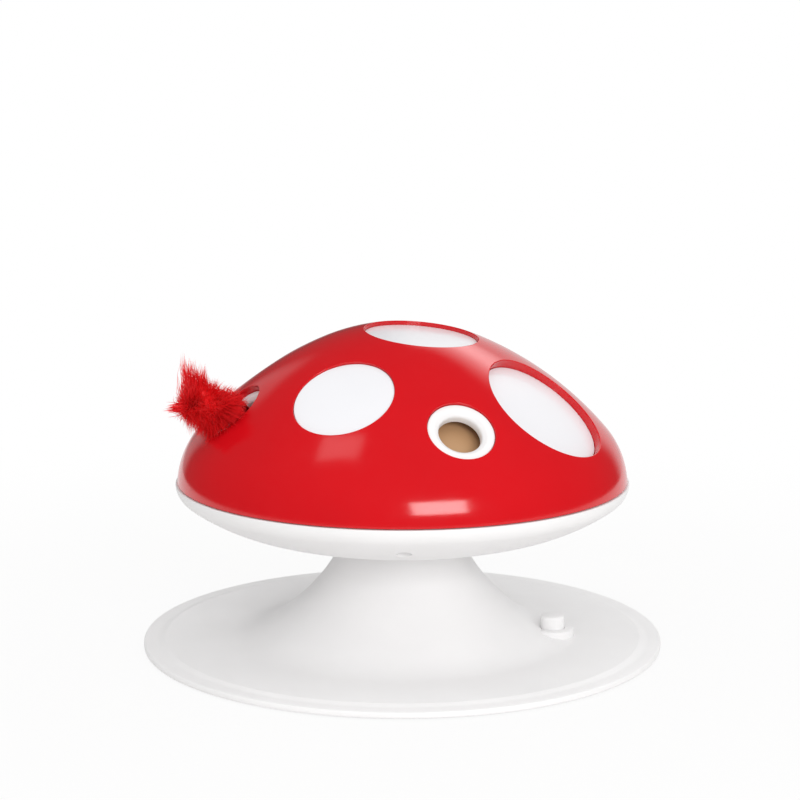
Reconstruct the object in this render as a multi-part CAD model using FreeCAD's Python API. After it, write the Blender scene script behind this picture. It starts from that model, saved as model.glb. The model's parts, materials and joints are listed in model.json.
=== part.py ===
import FreeCAD, Part
import math
import os

# Mushroom-shaped motorised teaser toy for cats, in millimetres, +Z up.
# The origin is the centre of the ring on which the rubber feet stand.
# A fur tail rides on a slowly turning inner dome and pops out of four ports in the cap.

V = FreeCAD.Vector

# Base: plate and trumpet stem in one moulding; the stem's curve is three tangent arcs
base_radius = 115.0
ground_gap = 0.6
rim_band = 9.5
rim_top = 3.3
rim_edge = 0.9
plate_top = 4.0
stem_radius = 27.5
flare_top = 50.2
flare_neck_bend = 25.0
flare_neck_sweep = 32.2
flare_middle_bend = 85.5
flare_middle_sweep = 27.8
flare_last_sweep = 30.0
stem_boss_ring = 21.2
stem_boss_length = 14.0
stem_boss_radius = 5.0

# Bottom cover, its feet and its screw recesses
cover_thickness = 1.5
cover_inset = 12.0
cover_gap = 0.2
foot_radius = 6.0
foot_ring_radius = 92.0
foot_count = 4
cover_screw_ring = 50.0
cover_screw_count = 4
screw_recess_radius = 3.2
screw_recess_depth = 0.9
boss_radius = 4.2
tub_post_ring = 27.6
tub_post_radius = 3.0

# Cells: three AA cells standing in the stem
cell_radius = 7.15
cell_length = 49.4
cell_nub_radius = 2.75
cell_nub_length = 1.1
cell_clearance = 0.35
cell_count = 3
first_cell_azimuth = 90.0
tub_wall = 1.2
tub_roof = 1.5
tub_flange_thickness = 1.6
tub_flange_radius = 31.0
contact_thickness = 0.4
contact_width = 7.0
contact_gap = 0.1
leaf_foot = 4.6
leaf_crest = 1.5
leaf_width = 4.0
leaf_sweep_gap = 0.6

# Battery door: a quarter-turn bayonet disc
door_radius = 19.6
door_plate = 1.2
door_neck_inset = 1.8
door_lip_thickness = 1.0
door_tab_count = 3
door_tab_angle = 24.0
door_tab_thickness = 1.0
door_unlock_angle = 40.0
door_gap = 0.15
door_inner_wall = 2.0
door_slot_length = 16.0
door_slot_width = 2.2
door_slot_depth = 0.7
collar_wall = 2.4
collar_height = 4.8

# Power button on the base plate, with its switch under it
button_ring_radius = 67.0
button_azimuth = -24.0
button_radius = 5.3
button_top = 13.6
button_edge = 1.0
button_wall = 0.9
button_flange = 1.8
button_flange_thickness = 1.0
button_travel = 1.5
button_gap = 0.12
button_collar_radius = 9.6
button_collar_top = 7.6
button_collar_edge = 0.9
button_collar_roof = 1.2
switch_board_thickness = 1.0
switch_width = 6.0
switch_height = 3.4
plunger_radius = 1.7
plunger_depth = 0.9
plunger_floor_gap = 0.1

# Lower shell: the white bowl, its curve three tangent arcs from the rim to the floor
seam_height = 73.77
bowl_depth = 24.8
bowl_rim_bend = 8.52
bowl_rim_sweep = -54.2
bowl_side_bend = 81.9
bowl_side_sweep = -19.0
bowl_last_sweep = -16.8
bowl_wall = 2.4
bowl_rim_edge = 0.45
tongue_height = 3.2
tongue_thickness = 1.5
tongue_gap = 0.15
tongue_ledge = 1.4

# Upper shell: the red cap, its curve three tangent arcs from the rim to the crown
seam_gap = 0.35
cap_wall = 2.2
cap_equator_radius = 99.16
cap_equator_drop = 1.57
bowl_overhang = 0.78
cap_shoulder_bend = 36.58
cap_shoulder_sweep = 40.75
cap_flank_bend = 151.67
cap_flank_sweep = 25.63
cap_last_sweep = 23.62
chord_sweep = 4.8
cap_edge = 0.4
shell_screw_inset = 13.94
shell_screw_count = 4
shell_screw_azimuth = 72.0
shell_screw_lift = 15.63
shell_screw_floor = 2.0
shell_boss_wall = 2.2
shell_post_radius = 3.6
shell_post_reach = 32.0

# Ports: four round openings with white funnel bushes, 90 degrees apart
port_polar = 42.0
port_flange_radius = 14.2
port_hole_radius = 9.1
port_tube_wall = 1.9
port_flange_thickness = 1.4
port_funnel_width = 2.2
port_funnel_depth = 1.6
port_length = 5.0
port_gap = 0.2
port_seat = 1.4
port_recess = 0.9
tail_port_recess = 3.0
cup_wall = 1.6
overrun = 8.0

# Spots: flat white discs in blind round recesses
disc_thickness = 1.2
disc_gap = 0.15
recess_floor = 1.2

# Rotor: the inner dome that carries the tail past the ports
rotor_inset = 23.16
rotor_lift = 10.4
rotor_skirt_height = 12.5
rotor_roof_run = 26.0
rotor_roof_rise = 22.3
rotor_crown_rise = 4.2
rotor_wall = 1.6
rotor_hub_radius = 5.0
rotor_screw_depth = 4.0
rotor_screw_head_radius = 3.6
rotor_screw_head_height = 1.8
crown_rim = 0.4

# Tail: a fur tuft on a flexible core, clipped into the rotor
tail_azimuth = 180.0
tail_hole_radius = 5.6
clip_flange = 1.6
clip_flange_thickness = 0.8
clip_depth = 2.4
core_radius = 2.0
core_tail = 3.0
core_reach = 8.0
fur_sides = 16
fur_neck_radius = 7.6
fur_neck_reach = 3.0
fur_tilt = 13.0
fur_start_height = 2.6
fur_length = 28.5
fur_full_radius = 15.0
fur_root_radius = 6.5
fur_tip_radius = 3.0
soft_gap = 0.4

# Gearbox: three 4 to 1 steps from the motor to the rotor
gear_module = 0.6
wheel_teeth = 40
pinion_teeth = 10
pressure_angle = 20.0
wheel_addendum = 0.6
pinion_addendum = 1.2
wheel_dedendum = 1.35
pinion_dedendum = 1.1
tooth_backlash = 0.06
gear_width = 2.4
gear_layer_gap = 0.6
gear_side_gap = 0.7
motor_floor_gap = 1.73
gearbox_floor = 2.0
gearbox_wall = 1.6
gearbox_lid = 1.6
gear_play = 1.2
second_gear_azimuth = 90.0
first_gear_azimuth = 30.0
motor_azimuth = -33.5
axle_radius = 1.0
axle_end = 0.4
running_gap = 0.05
spacer_radius = 2.2
output_shaft_radius = 2.0
bush_wall = 1.6
gearbox_ears = [(-23.0, -6.0), (-18.0, 27.0), (30.5, 37.0), (41.0, 2.5)]
ear_radius = 4.6
ear_post_radius = 3.8

# Motor: a 130-size can motor, shaft up
motor_radius = 10.05
motor_flat_width = 15.1
motor_can_length = 20.0
motor_bell_length = 5.0
motor_bell_inset = 0.5
motor_boss_radius = 3.05
motor_boss_height = 1.6
motor_shaft_radius = 1.0
motor_shaft_depth = 12.0
motor_hole_gap = 0.2

# Timer board in the bowl, lying outwards from the axis above the switch
board_inner_end = 32.0
board_length = 34.0
board_width = 22.0
board_thickness = 1.6
board_lift = 9.03
board_post_inset = 4.0
board_post_radius = 2.6
connector_size = 4.0
connector_height = 4.4

# Leads: flat two-core wire
lead_thickness = 1.2
lead_width = 2.4
lead_rise_radius = 22.2
lead_rise_start = 29.0
lead_hole_radius = 2.4
floor_run_end = 47.0
stem_foot_radius = 33.0
stem_foot_height = 12.0
battery_lead_start = 10.0
battery_lead_crest = 9.6
battery_lead_inset = 4.0
motor_lead_low = 12.5
motor_lead_high = 18.0

# Azimuth, polar angle, radius of the disc and depth of the dome's edge above it
spots = {
    "top": (306.5, 6.7, 24.75, 2.0),
    "front_left": (228.0, 35.0, 21.5, 0.6),
    "front_right": (311.6, 39.5, 28.6, 3.3),
    "rear_left": (137.0, 37.0, 24.0, 2.0),
    "rear_right": (44.0, 38.5, 21.0, 2.0),
}

# Azimuth and depth of the dome's edge above the bush
ports = {
    "right": (0.0, port_recess),
    "rear": (90.0, port_recess),
    "left": (180.0, tail_port_recess),
    "front": (270.0, port_recess),
}

# Worked-out levels and radii
flare_arcs = [(flare_neck_bend, flare_neck_sweep), (flare_middle_bend, flare_middle_sweep)]
bowl_arcs = [(bowl_rim_bend, bowl_rim_sweep), (bowl_side_bend, bowl_side_sweep)]
cap_arcs = [(cap_shoulder_bend, cap_shoulder_sweep), (cap_flank_bend, cap_flank_sweep)]
bowl_floor = seam_height - bowl_depth
bowl_radius = cap_equator_radius + bowl_overhang
cap_equator_height = seam_height - cap_equator_drop
shell_screw_ring = bowl_radius - shell_screw_inset
shell_screw_sink = bowl_floor + shell_screw_lift
board_height = bowl_floor + board_lift
gearbox_bottom = bowl_floor + bowl_wall + motor_floor_gap + motor_bell_length + motor_can_length
rotor_skirt_radius = cap_equator_radius - rotor_inset
rotor_skirt_bottom = cap_equator_height + rotor_lift
rotor_skirt_top = rotor_skirt_bottom + rotor_skirt_height
rotor_roof_radius = rotor_skirt_radius - rotor_roof_run
rotor_roof_edge = rotor_skirt_top + rotor_roof_rise
rotor_crown = rotor_roof_edge + rotor_crown_rise
cover_top = ground_gap + cover_thickness
cover_radius = base_radius - cover_inset
centre_distance = gear_module * (wheel_teeth + pinion_teeth) / 2
wheel_tip = gear_module * (wheel_teeth / 2 + wheel_addendum)
pinion_tip = gear_module * (pinion_teeth / 2 + pinion_addendum)
gear_floor = gearbox_bottom + gearbox_floor
layer_step = gear_width + gear_layer_gap
layers = [gear_floor + gear_side_gap + layer_step * step for step in range(3)]
gear_ceiling = layers[2] + gear_width + gear_side_gap
lid_top = gear_ceiling + gearbox_lid
cap_bottom = seam_height + seam_gap
cell_ring = (cell_radius + cell_clearance + tub_wall / 2) * 2 / math.sqrt(3)
lobe_radius = cell_radius + cell_clearance + tub_wall
tub_reach = cell_ring + lobe_radius
door_neck_radius = door_radius - door_neck_inset
door_opening = door_radius + door_gap
lip_radius = door_neck_radius + door_gap
lip_bottom = ground_gap + door_plate + door_gap
lip_top = lip_bottom + door_lip_thickness
tab_top = lip_top + door_gap + door_tab_thickness
collar_inner = door_opening + 1.2
collar_outer = collar_inner + collar_wall
collar_top = ground_gap + collar_height
door_floor = ground_gap + door_plate + 0.6
cell_bottom = collar_top + 1.4
cell_top = cell_bottom + cell_length + cell_nub_length
tub_top = cell_top + contact_thickness + tub_roof
button_flange_top = button_collar_top - button_collar_roof - button_gap
button_flange_bottom = button_flange_top - button_flange_thickness
boss_top = shell_screw_sink + shell_screw_floor


def at(radius, azimuth, height=0.0):
    """Point at a radius and azimuth (degrees) about the axis of the toy."""
    angle = math.radians(azimuth)
    return V(radius * math.cos(angle), radius * math.sin(angle), height)


def cylinder(radius, bottom, top, centre=V(0, 0, 0)):
    """Upright cylinder between two levels."""
    return Part.makeCylinder(radius, top - bottom, V(centre.x, centre.y, bottom))


def fuse(shapes):
    """One solid from shapes that meet."""
    first, *rest = shapes
    return first.multiFuse(rest).removeSplitter()


def cut(shape, tools):
    """Shape less every tool."""
    return shape.cut(Part.Compound(tools)).removeSplitter()


def lines(points):
    """Straight edges through (radius, height) points."""
    return [Part.LineSegment(V(a[0], 0, a[1]), V(b[0], 0, b[1])).toShape() for a, b in zip(points, points[1:])]


def revolve(edges):
    """Solid of revolution about Z from the closed outline of (radius, height) edges."""
    wire = Part.Wire(Part.__sortEdges__(edges))
    solid = Part.Face(wire).revolve(V(0, 0, 0), V(0, 0, 1), 360)
    return solid.reversed() if solid.Volume < 0 else solid


def turned(points):
    """Solid of revolution about Z from a closed polygon of (radius, height) points."""
    return revolve(lines(points + points[:1]))


def around(shape, count, start=0.0):
    """Copies of a shape turned evenly about Z."""
    copies = []
    for step in range(count):
        copy = shape.copy()
        copy.rotate(V(0, 0, 0), V(0, 0, 1), start + 360.0 * step / count)
        copies.append(copy)
    return copies


def placed(shape, centre, azimuth=0.0):
    """Shape turned about Z and moved."""
    copy = shape.copy()
    copy.rotate(V(0, 0, 0), V(0, 0, 1), azimuth)
    copy.translate(V(centre.x, centre.y, 0))
    return copy


def block(length, width, bottom, top, centre, azimuth=0.0):
    """Upright box about a centre, its length along an azimuth."""
    box = Part.makeBox(length, width, top - bottom, V(-length / 2, -width / 2, bottom))
    return placed(box, centre, azimuth)


def sector(outer, inner, bottom, top, angle):
    """Part of a tube, spread evenly about the +X direction."""
    wedge = Part.makeCylinder(outer, top - bottom, V(0, 0, bottom), V(0, 0, 1), angle)
    wedge.rotate(V(0, 0, 0), V(0, 0, 1), -angle / 2)
    return wedge.cut(cylinder(inner, bottom, top))


# Curves of the shells: chains of tangent arcs in the plane of radius and height


def heading(angle):
    """Unit direction (radial, upward) at an angle from the radial."""
    return math.cos(math.radians(angle)), math.sin(math.radians(angle))


def chained(start, angle, arcs, last_sweep, coordinate, target):
    """Arcs as (centre, radius, first angle, last angle).

    The last arc's radius brings the end's radius (coordinate 0) or height (coordinate 1)
    to the target.
    """
    chain = []
    point = start
    for radius, sweep in arcs + [(None, last_sweep)]:
        out = heading(angle)
        beyond = heading(angle + sweep)
        if radius is None:
            radius = (target - point[coordinate]) / (beyond[coordinate] - out[coordinate])
        centre = (point[0] - radius * out[0], point[1] - radius * out[1])
        chain.append((centre, radius, angle, angle + sweep))
        point = (centre[0] + radius * beyond[0], centre[1] + radius * beyond[1])
        angle += sweep
    return chain


def on_arc(arc, angle, shift=0.0):
    """Point of an arc at an angle, moved sideways by shift."""
    centre, radius = arc[:2]
    out = heading(angle)
    return centre[0] + (radius + shift) * out[0], centre[1] + (radius + shift) * out[1]


def trimmed(chain, height):
    """Chain that starts where its first arc reaches a height."""
    centre, radius, first, last = chain[0]
    lean = math.degrees(math.asin((height - centre[1]) / radius))
    return [(centre, radius, 180.0 - lean if first > 90.0 else lean, last)] + chain[1:]


def curve(chain):
    """Edges of a chain: arcs that sweep a ring or a ball, and short chords of the wide arcs."""
    edges = []
    for arc in chain:
        centre, radius, first, last = arc
        if centre[0] > radius or abs(centre[0]) < 1e-6:
            points = [on_arc(arc, angle) for angle in (first, (first + last) / 2, last)]
            edges.append(Part.Arc(*[V(p[0], 0, p[1]) for p in points]).toShape())
        else:
            count = math.ceil(abs(last - first) / chord_sweep)
            edges += lines([on_arc(arc, first + (last - first) * step / count)
                            for step in range(count + 1)])
    return edges


def stations(chain, shift, per_arc=2):
    """Points along a chain moved sideways, a few to each arc."""
    points = []
    for arc in chain:
        first, last = arc[2:]
        points += [on_arc(arc, first + (last - first) * step / per_arc, shift) for step in range(per_arc)]
    return points + [on_arc(chain[-1], chain[-1][3], shift)]


def ends(chain):
    """First and last point of a chain."""
    return on_arc(chain[0], chain[0][2]), on_arc(chain[-1], chain[-1][3])


flare_chain = trimmed(
    chained((stem_radius, flare_top), 180.0, flare_arcs, flare_last_sweep, 1, plate_top), bowl_floor)
bowl_chain = trimmed(
    chained((bowl_radius, seam_height), 0.0, bowl_arcs, bowl_last_sweep, 1, bowl_floor),
    seam_height - bowl_rim_edge)
cap_chain = trimmed(
    chained((cap_equator_radius, cap_equator_height), 0.0, cap_arcs, cap_last_sweep, 0, 0.0),
    cap_bottom + cap_edge)


def cap_arc(polar):
    """The arc of the cap whose normal leans from the vertical by polar degrees."""
    return [arc for arc in cap_chain if arc[2] <= 90.0 - polar][-1]


def cap_point(polar):
    """Radius and height of the cap's surface where its normal leans by polar degrees."""
    return on_arc(cap_arc(polar), 90.0 - polar)


def on_cap(shape, azimuth, polar):
    """Shape built about local +Z, stood on the cap's surface along its normal."""
    radius, height = cap_point(polar)
    turn = FreeCAD.Rotation(V(0, 0, 1), azimuth).multiply(FreeCAD.Rotation(V(0, 1, 0), polar))
    stood = shape.copy()
    stood.Placement = FreeCAD.Placement(at(radius, azimuth, height), turn)
    return stood


def edge_drop(polar, radius):
    """How far the cap falls away from its tangent plane at a circle of this radius."""
    bend = cap_point(polar)[0] / math.sin(math.radians(polar))
    return bend - math.sqrt(bend * bend - radius * radius)


def port_depth(recess):
    """Depth of a bush's outer face below the cap's surface at the port's centre."""
    return recess + edge_drop(port_polar, port_flange_radius)


def spot_depth(spot):
    """Depth of a disc's face below the cap's surface at the spot's centre."""
    azimuth, polar, radius, recess = spot
    return recess + edge_drop(polar, radius)


# Base

base_wall = plate_top - cover_top
button_place = at(button_ring_radius, button_azimuth)
pocket_radius = button_radius + button_flange + 2 * button_gap


def base_pedestal():
    top, foot = ends(flare_chain)
    inner = stations(flare_chain, base_wall)
    inner[0] = (inner[0][0], bowl_floor)
    step = base_radius - rim_band
    drop = plate_top - rim_top
    body = revolve(curve(flare_chain) + lines(
        [foot, (step, plate_top), (step + drop, rim_top), (base_radius - rim_edge, rim_top),
         (base_radius, rim_top - rim_edge), (base_radius, ground_gap + rim_edge),
         (base_radius - rim_edge, ground_gap), (cover_radius + cover_gap, ground_gap),
         (cover_radius + cover_gap, cover_top)] + inner[::-1] + [top]))
    room = turned(stations(flare_chain, base_wall / 2) + [(0.0, cover_top), (0.0, bowl_floor)])
    bosses = around(cylinder(boss_radius, cover_top, bowl_floor, at(cover_screw_ring, 45.0)),
                    cover_screw_count)
    bosses += around(cylinder(stem_boss_radius, bowl_floor - stem_boss_length, bowl_floor,
                              at(stem_boss_ring, first_cell_azimuth + 60.0)), cell_count)
    bosses = [boss.common(room) for boss in bosses]
    collar = turned([(0.0, cover_top), (button_collar_radius, cover_top),
                     (button_collar_radius, button_collar_top - button_collar_edge),
                     (button_collar_radius - button_collar_edge, button_collar_top),
                     (0.0, button_collar_top)])
    body = fuse([body, placed(collar, button_place)] + bosses)
    pocket = cylinder(pocket_radius, ground_gap, button_collar_top - button_collar_roof, button_place)
    bore = cylinder(button_radius + button_gap, ground_gap, button_collar_top + 1.0, button_place)
    slot = block(button_collar_radius, lead_width + 1.0, ground_gap, cover_top + lead_thickness + 0.6,
                 at(button_ring_radius - button_collar_radius, button_azimuth), button_azimuth)
    return cut(body, [pocket, bore, slot])


def bottom_cover():
    body = turned([
        (door_opening, ground_gap), (cover_radius, ground_gap), (cover_radius, cover_top),
        (collar_outer, cover_top), (collar_outer, collar_top), (collar_inner, collar_top),
        (collar_inner, lip_top), (lip_radius, lip_top), (lip_radius, lip_bottom),
        (door_opening, lip_bottom)])
    posts = around(cylinder(tub_post_radius, cover_top, collar_top, at(tub_post_ring, 30.0)), cell_count)
    recess = cylinder(screw_recess_radius, 0.0, ground_gap + screw_recess_depth, at(cover_screw_ring, 45.0))
    notch = sector(collar_inner, lip_radius - 1.0, lip_bottom - 0.1, lip_top + 0.1, door_tab_angle + 4.0)
    return cut(fuse([body] + posts), around(recess, cover_screw_count)
               + around(notch, door_tab_count, door_unlock_angle))


def rubber_feet():
    foot = cylinder(foot_radius, 0.0, ground_gap, at(foot_ring_radius, 45.0))
    return Part.Compound(around(foot, foot_count))


# Battery compartment

cell_places = [at(cell_ring, first_cell_azimuth + 360.0 * step / cell_count) for step in range(cell_count)]


def contact_bridge(gap):
    """Strip that joins the first two cells under the tub's roof, with a gap round it."""
    first, second = cell_places[:2]
    along = second.sub(first)
    middle = first.add(second).multiply(0.5)
    azimuth = math.degrees(math.atan2(along.y, along.x))
    return block(along.Length + contact_width + 2 * gap, contact_width + 2 * gap, cell_top - gap,
                 cell_top + contact_thickness, middle, azimuth)


def battery_tub():
    """Three lobes on a flange, open below and cleared for the leaves on the turning door."""
    lobes = [cylinder(lobe_radius, collar_top, tub_top, place) for place in cell_places]
    flange = cylinder(tub_flange_radius, collar_top, collar_top + tub_flange_thickness)
    roof = tub_top - tub_roof
    cavity = [cylinder(cell_radius + cell_clearance, 0.0, roof, place) for place in cell_places]
    middle = cylinder(cell_ring / 2, 0.0, roof)
    sweep = cylinder(cell_ring + leaf_foot + leaf_sweep_gap, 0.0, cell_bottom + contact_thickness)
    return cut(fuse(lobes + [flange]), cavity + [middle, sweep, contact_bridge(contact_gap)])


def battery_cells():
    cells = []
    for place in cell_places:
        can = cylinder(cell_radius, cell_bottom, cell_bottom + cell_length, place)
        nub = cylinder(cell_nub_radius, cell_bottom + cell_length, cell_top, place)
        cells.append(fuse([can, nub]))
    return Part.Compound(cells)


def top_contacts():
    """Contact plates under the tub's roof: one joins two cells, one serves the third."""
    single = block(contact_width, contact_width, cell_top, cell_top + contact_thickness, cell_places[2])
    return Part.Compound([contact_bridge(0.0), single])


def battery_door():
    plate = cylinder(door_radius, ground_gap, ground_gap + door_plate)
    neck = cylinder(door_neck_radius, ground_gap, tab_top)
    tab = sector(collar_inner - 4 * door_gap, door_neck_radius - 1.0, lip_top + door_gap, tab_top,
                 door_tab_angle)
    slot = block(door_slot_length, door_slot_width, 0.0, ground_gap + door_slot_depth, V(0, 0, 0))
    hollow = cylinder(door_neck_radius - door_inner_wall, door_floor, tab_top + 1.0)
    return cut(fuse([plate, neck] + around(tab, door_tab_count)), [slot, hollow])


def door_contacts():
    """Arched spring leaves on the door, one under each cell."""
    inner_foot = leaf_foot - 1.5 * contact_thickness
    inner_crest = leaf_crest - contact_thickness / 4
    under = cell_bottom - contact_thickness
    outline = [(-leaf_foot, door_floor), (-leaf_crest, cell_bottom), (leaf_crest, cell_bottom),
               (leaf_foot, door_floor), (inner_foot, door_floor), (inner_crest, under),
               (-inner_crest, under), (-inner_foot, door_floor)]
    face = Part.Face(Part.Wire(lines(outline + outline[:1])))
    leaf = face.extrude(V(0, leaf_width, 0))
    leaf.translate(V(0, -leaf_width / 2, 0))
    return Part.Compound([placed(leaf, place) for place in cell_places])


# Power button


def power_button():
    roof = button_top - button_edge - button_wall
    inner = button_radius - button_wall
    body = turned([
        (0.0, button_top), (button_radius - button_edge, button_top),
        (button_radius, button_top - button_edge), (button_radius, button_flange_top),
        (button_radius + button_flange, button_flange_top),
        (button_radius + button_flange, button_flange_bottom), (inner, button_flange_bottom),
        (inner, roof), (0.0, roof)])
    return placed(body, button_place)


def switch_board():
    return cylinder(pocket_radius - 3 * button_gap, cover_top, cover_top + switch_board_thickness,
                    button_place)


def push_switch():
    bottom = cover_top + switch_board_thickness
    body = block(switch_width, switch_width, bottom, bottom + switch_height, button_place, button_azimuth)
    return body.cut(cylinder(plunger_radius + running_gap, bottom + plunger_depth, bottom + 10.0,
                             button_place))


def switch_plunger():
    floor = cover_top + switch_board_thickness + plunger_depth
    return cylinder(plunger_radius, floor + button_travel + plunger_floor_gap,
                    button_top - button_edge - button_wall, button_place)


# Lower shell


def cap_inner_radius(height):
    """Radius of the cap's inner skin, a straight cone near its rim, at a height."""
    low, high = stations(cap_chain, -cap_wall)[:2]
    return low[0] + (high[0] - low[0]) * (height - low[1]) / (high[1] - low[1])


def lower_shell():
    rim, floor = ends(bowl_chain)
    inner = stations(bowl_chain, -bowl_wall)
    tongue = cap_inner_radius(seam_height + tongue_height) - tongue_gap
    ledge = inner[1][1] + tongue_ledge
    hole = tub_reach + 0.4
    body = revolve(curve(bowl_chain) + lines(
        [rim, (bowl_radius - bowl_rim_edge, seam_height), (tongue, seam_height),
         (tongue, seam_height + tongue_height), (tongue - tongue_thickness, seam_height + tongue_height),
         (tongue - tongue_thickness, ledge)] + inner[1:]
        + [(hole, bowl_floor + bowl_wall), (hole, bowl_floor), floor]))
    room = turned(stations(bowl_chain, -bowl_wall / 2)
                  + [(0.0, bowl_floor + bowl_wall / 2), (0.0, 2 * bowl_floor),
                     (tongue - tongue_thickness, 2 * bowl_floor)])
    screw_boss = cylinder(screw_recess_radius + shell_boss_wall, bowl_floor, boss_top, at(shell_screw_ring, 0.0))
    bosses = around(screw_boss, shell_screw_count, shell_screw_azimuth)
    bosses += [cylinder(ear_post_radius, bowl_floor, gearbox_bottom, V(x, y, 0)) for x, y in gearbox_ears]
    bosses += [cylinder(board_post_radius, bowl_floor, board_height, place) for place in board_corners]
    body = fuse([body] + [boss.common(room) for boss in bosses])
    sink = cylinder(screw_recess_radius, bowl_floor, shell_screw_sink, at(shell_screw_ring, 0.0))
    lead_hole = cylinder(lead_hole_radius, 0.0, 2 * bowl_floor, at(lead_rise_radius, button_azimuth))
    return cut(body, around(sink, shell_screw_count, shell_screw_azimuth) + [lead_hole])


# Upper shell


def port_cup(recess):
    """Plug from which a port's cup is turned, before its bores are cut."""
    depth = port_depth(recess) + port_flange_thickness + port_seat
    return Part.makeCylinder(port_flange_radius + port_gap + cup_wall, depth + overrun, V(0, 0, -depth))


def port_cuts(recess):
    """Seat of a port's flange and the bore for its tube."""
    seat = port_depth(recess) + port_flange_thickness
    reach = 3 * overrun
    return [Part.makeCylinder(port_flange_radius + port_gap, seat + overrun, V(0, 0, -seat)),
            Part.makeCylinder(port_hole_radius + port_tube_wall + port_gap, reach + overrun, V(0, 0, -reach))]


def spot_cup(spot):
    """Plug from which a spot's blind cup is turned."""
    depth = spot_depth(spot) + disc_thickness + recess_floor
    return Part.makeCylinder(spot[2] + disc_gap + cup_wall, depth + overrun, V(0, 0, -depth))


def spot_cut(spot):
    """Recess in which a spot's disc lies."""
    depth = spot_depth(spot) + disc_thickness
    return Part.makeCylinder(spot[2] + disc_gap, depth + overrun, V(0, 0, -depth))


def upper_shell():
    rim, crown = ends(cap_chain)
    low = (rim[0] - cap_edge, cap_bottom)
    outer = revolve(curve(cap_chain) + lines([crown, (0.0, cap_bottom), low, rim]))
    inner = stations(cap_chain, -cap_wall)
    void = turned([(inner[0][0], cap_bottom - 1.0)] + inner + [(0.0, cap_bottom - 1.0)])
    skin = outer.cut(void)
    cups = [on_cap(spot_cup(spot), spot[0], spot[1]) for spot in spots.values()]
    cups += [on_cap(port_cup(recess), azimuth, port_polar) for azimuth, recess in ports.values()]
    post = cylinder(shell_post_radius, boss_top, cap_equator_height + shell_post_reach,
                    at(shell_screw_ring, 0.0))
    room = turned([(0.0, 0.0), (inner[0][0], 0.0)] + stations(cap_chain, -cap_wall / 2, 3))
    inside = [item.common(room) for item in cups + around(post, shell_screw_count, shell_screw_azimuth)]
    body = fuse([skin] + inside)
    cuts = [on_cap(spot_cut(spot), spot[0], spot[1]) for spot in spots.values()]
    for azimuth, recess in ports.values():
        cuts += [on_cap(item, azimuth, port_polar) for item in port_cuts(recess)]
    for item in cuts:
        body = body.cut(item)
    return body.removeSplitter()


def spot_disc(spot):
    depth = spot_depth(spot)
    disc = Part.makeCylinder(spot[2], disc_thickness, V(0, 0, -depth - disc_thickness))
    return on_cap(disc, spot[0], spot[1])


def port_bushes():
    """Funnel rings: a flat lip, a round throat and a short tube at every port."""
    bushes = []
    for azimuth, recess in ports.values():
        face = -port_depth(recess)
        throat = port_hole_radius + port_tube_wall
        bush = turned([
            (port_hole_radius + port_funnel_width, face), (port_hole_radius, face - port_funnel_depth),
            (port_hole_radius, face - port_length), (throat, face - port_length),
            (throat, face - port_flange_thickness), (port_flange_radius, face - port_flange_thickness),
            (port_flange_radius, face)])
        bushes.append(on_cap(bush, azimuth, port_polar))
    return Part.Compound(bushes)


# Gears


def involute(angle):
    """Involute function: the polar angle gained along a flank at a pressure angle."""
    return math.tan(angle) - angle


def gear(teeth, addendum, dedendum, spin, bottom, top, place):
    """Spur gear whose flanks are chords of the involute, a tooth facing the azimuth spin."""
    pitch = gear_module * teeth / 2
    tip = pitch + gear_module * addendum
    root = pitch - gear_module * dedendum
    base = pitch * math.cos(math.radians(pressure_angle))
    half = math.pi / (2 * teeth) - tooth_backlash / (2 * pitch) + involute(math.radians(pressure_angle))
    radii = [root, base, tip] if base - root > 0.2 else [root, tip]

    def half_angle(radius):
        return half - involute(math.acos(base / max(radius, base)))

    points = []
    for tooth in range(teeth):
        middle = math.radians(spin) + 2 * math.pi * tooth / teeth
        flanks = [(r, middle - half_angle(r)) for r in radii]
        flanks += [(r, middle + half_angle(r)) for r in reversed(radii)]
        points += [V(r * math.cos(a), r * math.sin(a), bottom) for r, a in flanks]
    solid = Part.Face(Part.makePolygon(points + points[:1])).extrude(V(0, 0, top - bottom))
    solid.translate(V(place.x, place.y, 0))
    return solid


def wheel(bottom, place, pinion_azimuth):
    """Large gear with a gap between teeth facing its pinion."""
    return gear(wheel_teeth, wheel_addendum, wheel_dedendum, pinion_azimuth + 180.0 / wheel_teeth,
                bottom, bottom + gear_width, place)


def pinion(bottom, top, place, wheel_azimuth):
    """Small gear with a tooth facing its wheel."""
    return gear(pinion_teeth, pinion_addendum, pinion_dedendum, wheel_azimuth, bottom, top, place)


output_place = V(0, 0, 0)
second_place = at(centre_distance, second_gear_azimuth)
first_place = second_place.add(at(centre_distance, first_gear_azimuth))
motor_place = first_place.add(at(centre_distance, motor_azimuth))


def double_gear(place, layer, before, after):
    """Wheel and pinion in one moulding on a plain bore, with spacers to the plates."""
    body = fuse([
        wheel(layer, place, before),
        pinion(layer + gear_width, layer + layer_step + gear_width, place, after + 180.0),
        cylinder(spacer_radius, gear_floor + running_gap, gear_ceiling - running_gap, place)])
    return body.cut(cylinder(axle_radius + running_gap, gear_floor, gear_ceiling, place))


def first_gear():
    return double_gear(first_place, layers[0], motor_azimuth, first_gear_azimuth)


def second_gear():
    return double_gear(second_place, layers[1], first_gear_azimuth, second_gear_azimuth)


def output_gear():
    body = wheel(layers[2], output_place, second_gear_azimuth)
    return body.cut(cylinder(output_shaft_radius, gear_floor, gear_ceiling))


def motor_pinion():
    body = pinion(layers[0] - 0.2, layers[0] + gear_width + 0.2, motor_place, motor_azimuth + 180.0)
    return body.cut(cylinder(motor_shaft_radius, gear_floor, gear_ceiling, motor_place))


def motor_shaft():
    return cylinder(motor_shaft_radius, gearbox_bottom - motor_shaft_depth, layers[0] + gear_width + 0.6,
                    motor_place)


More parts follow.
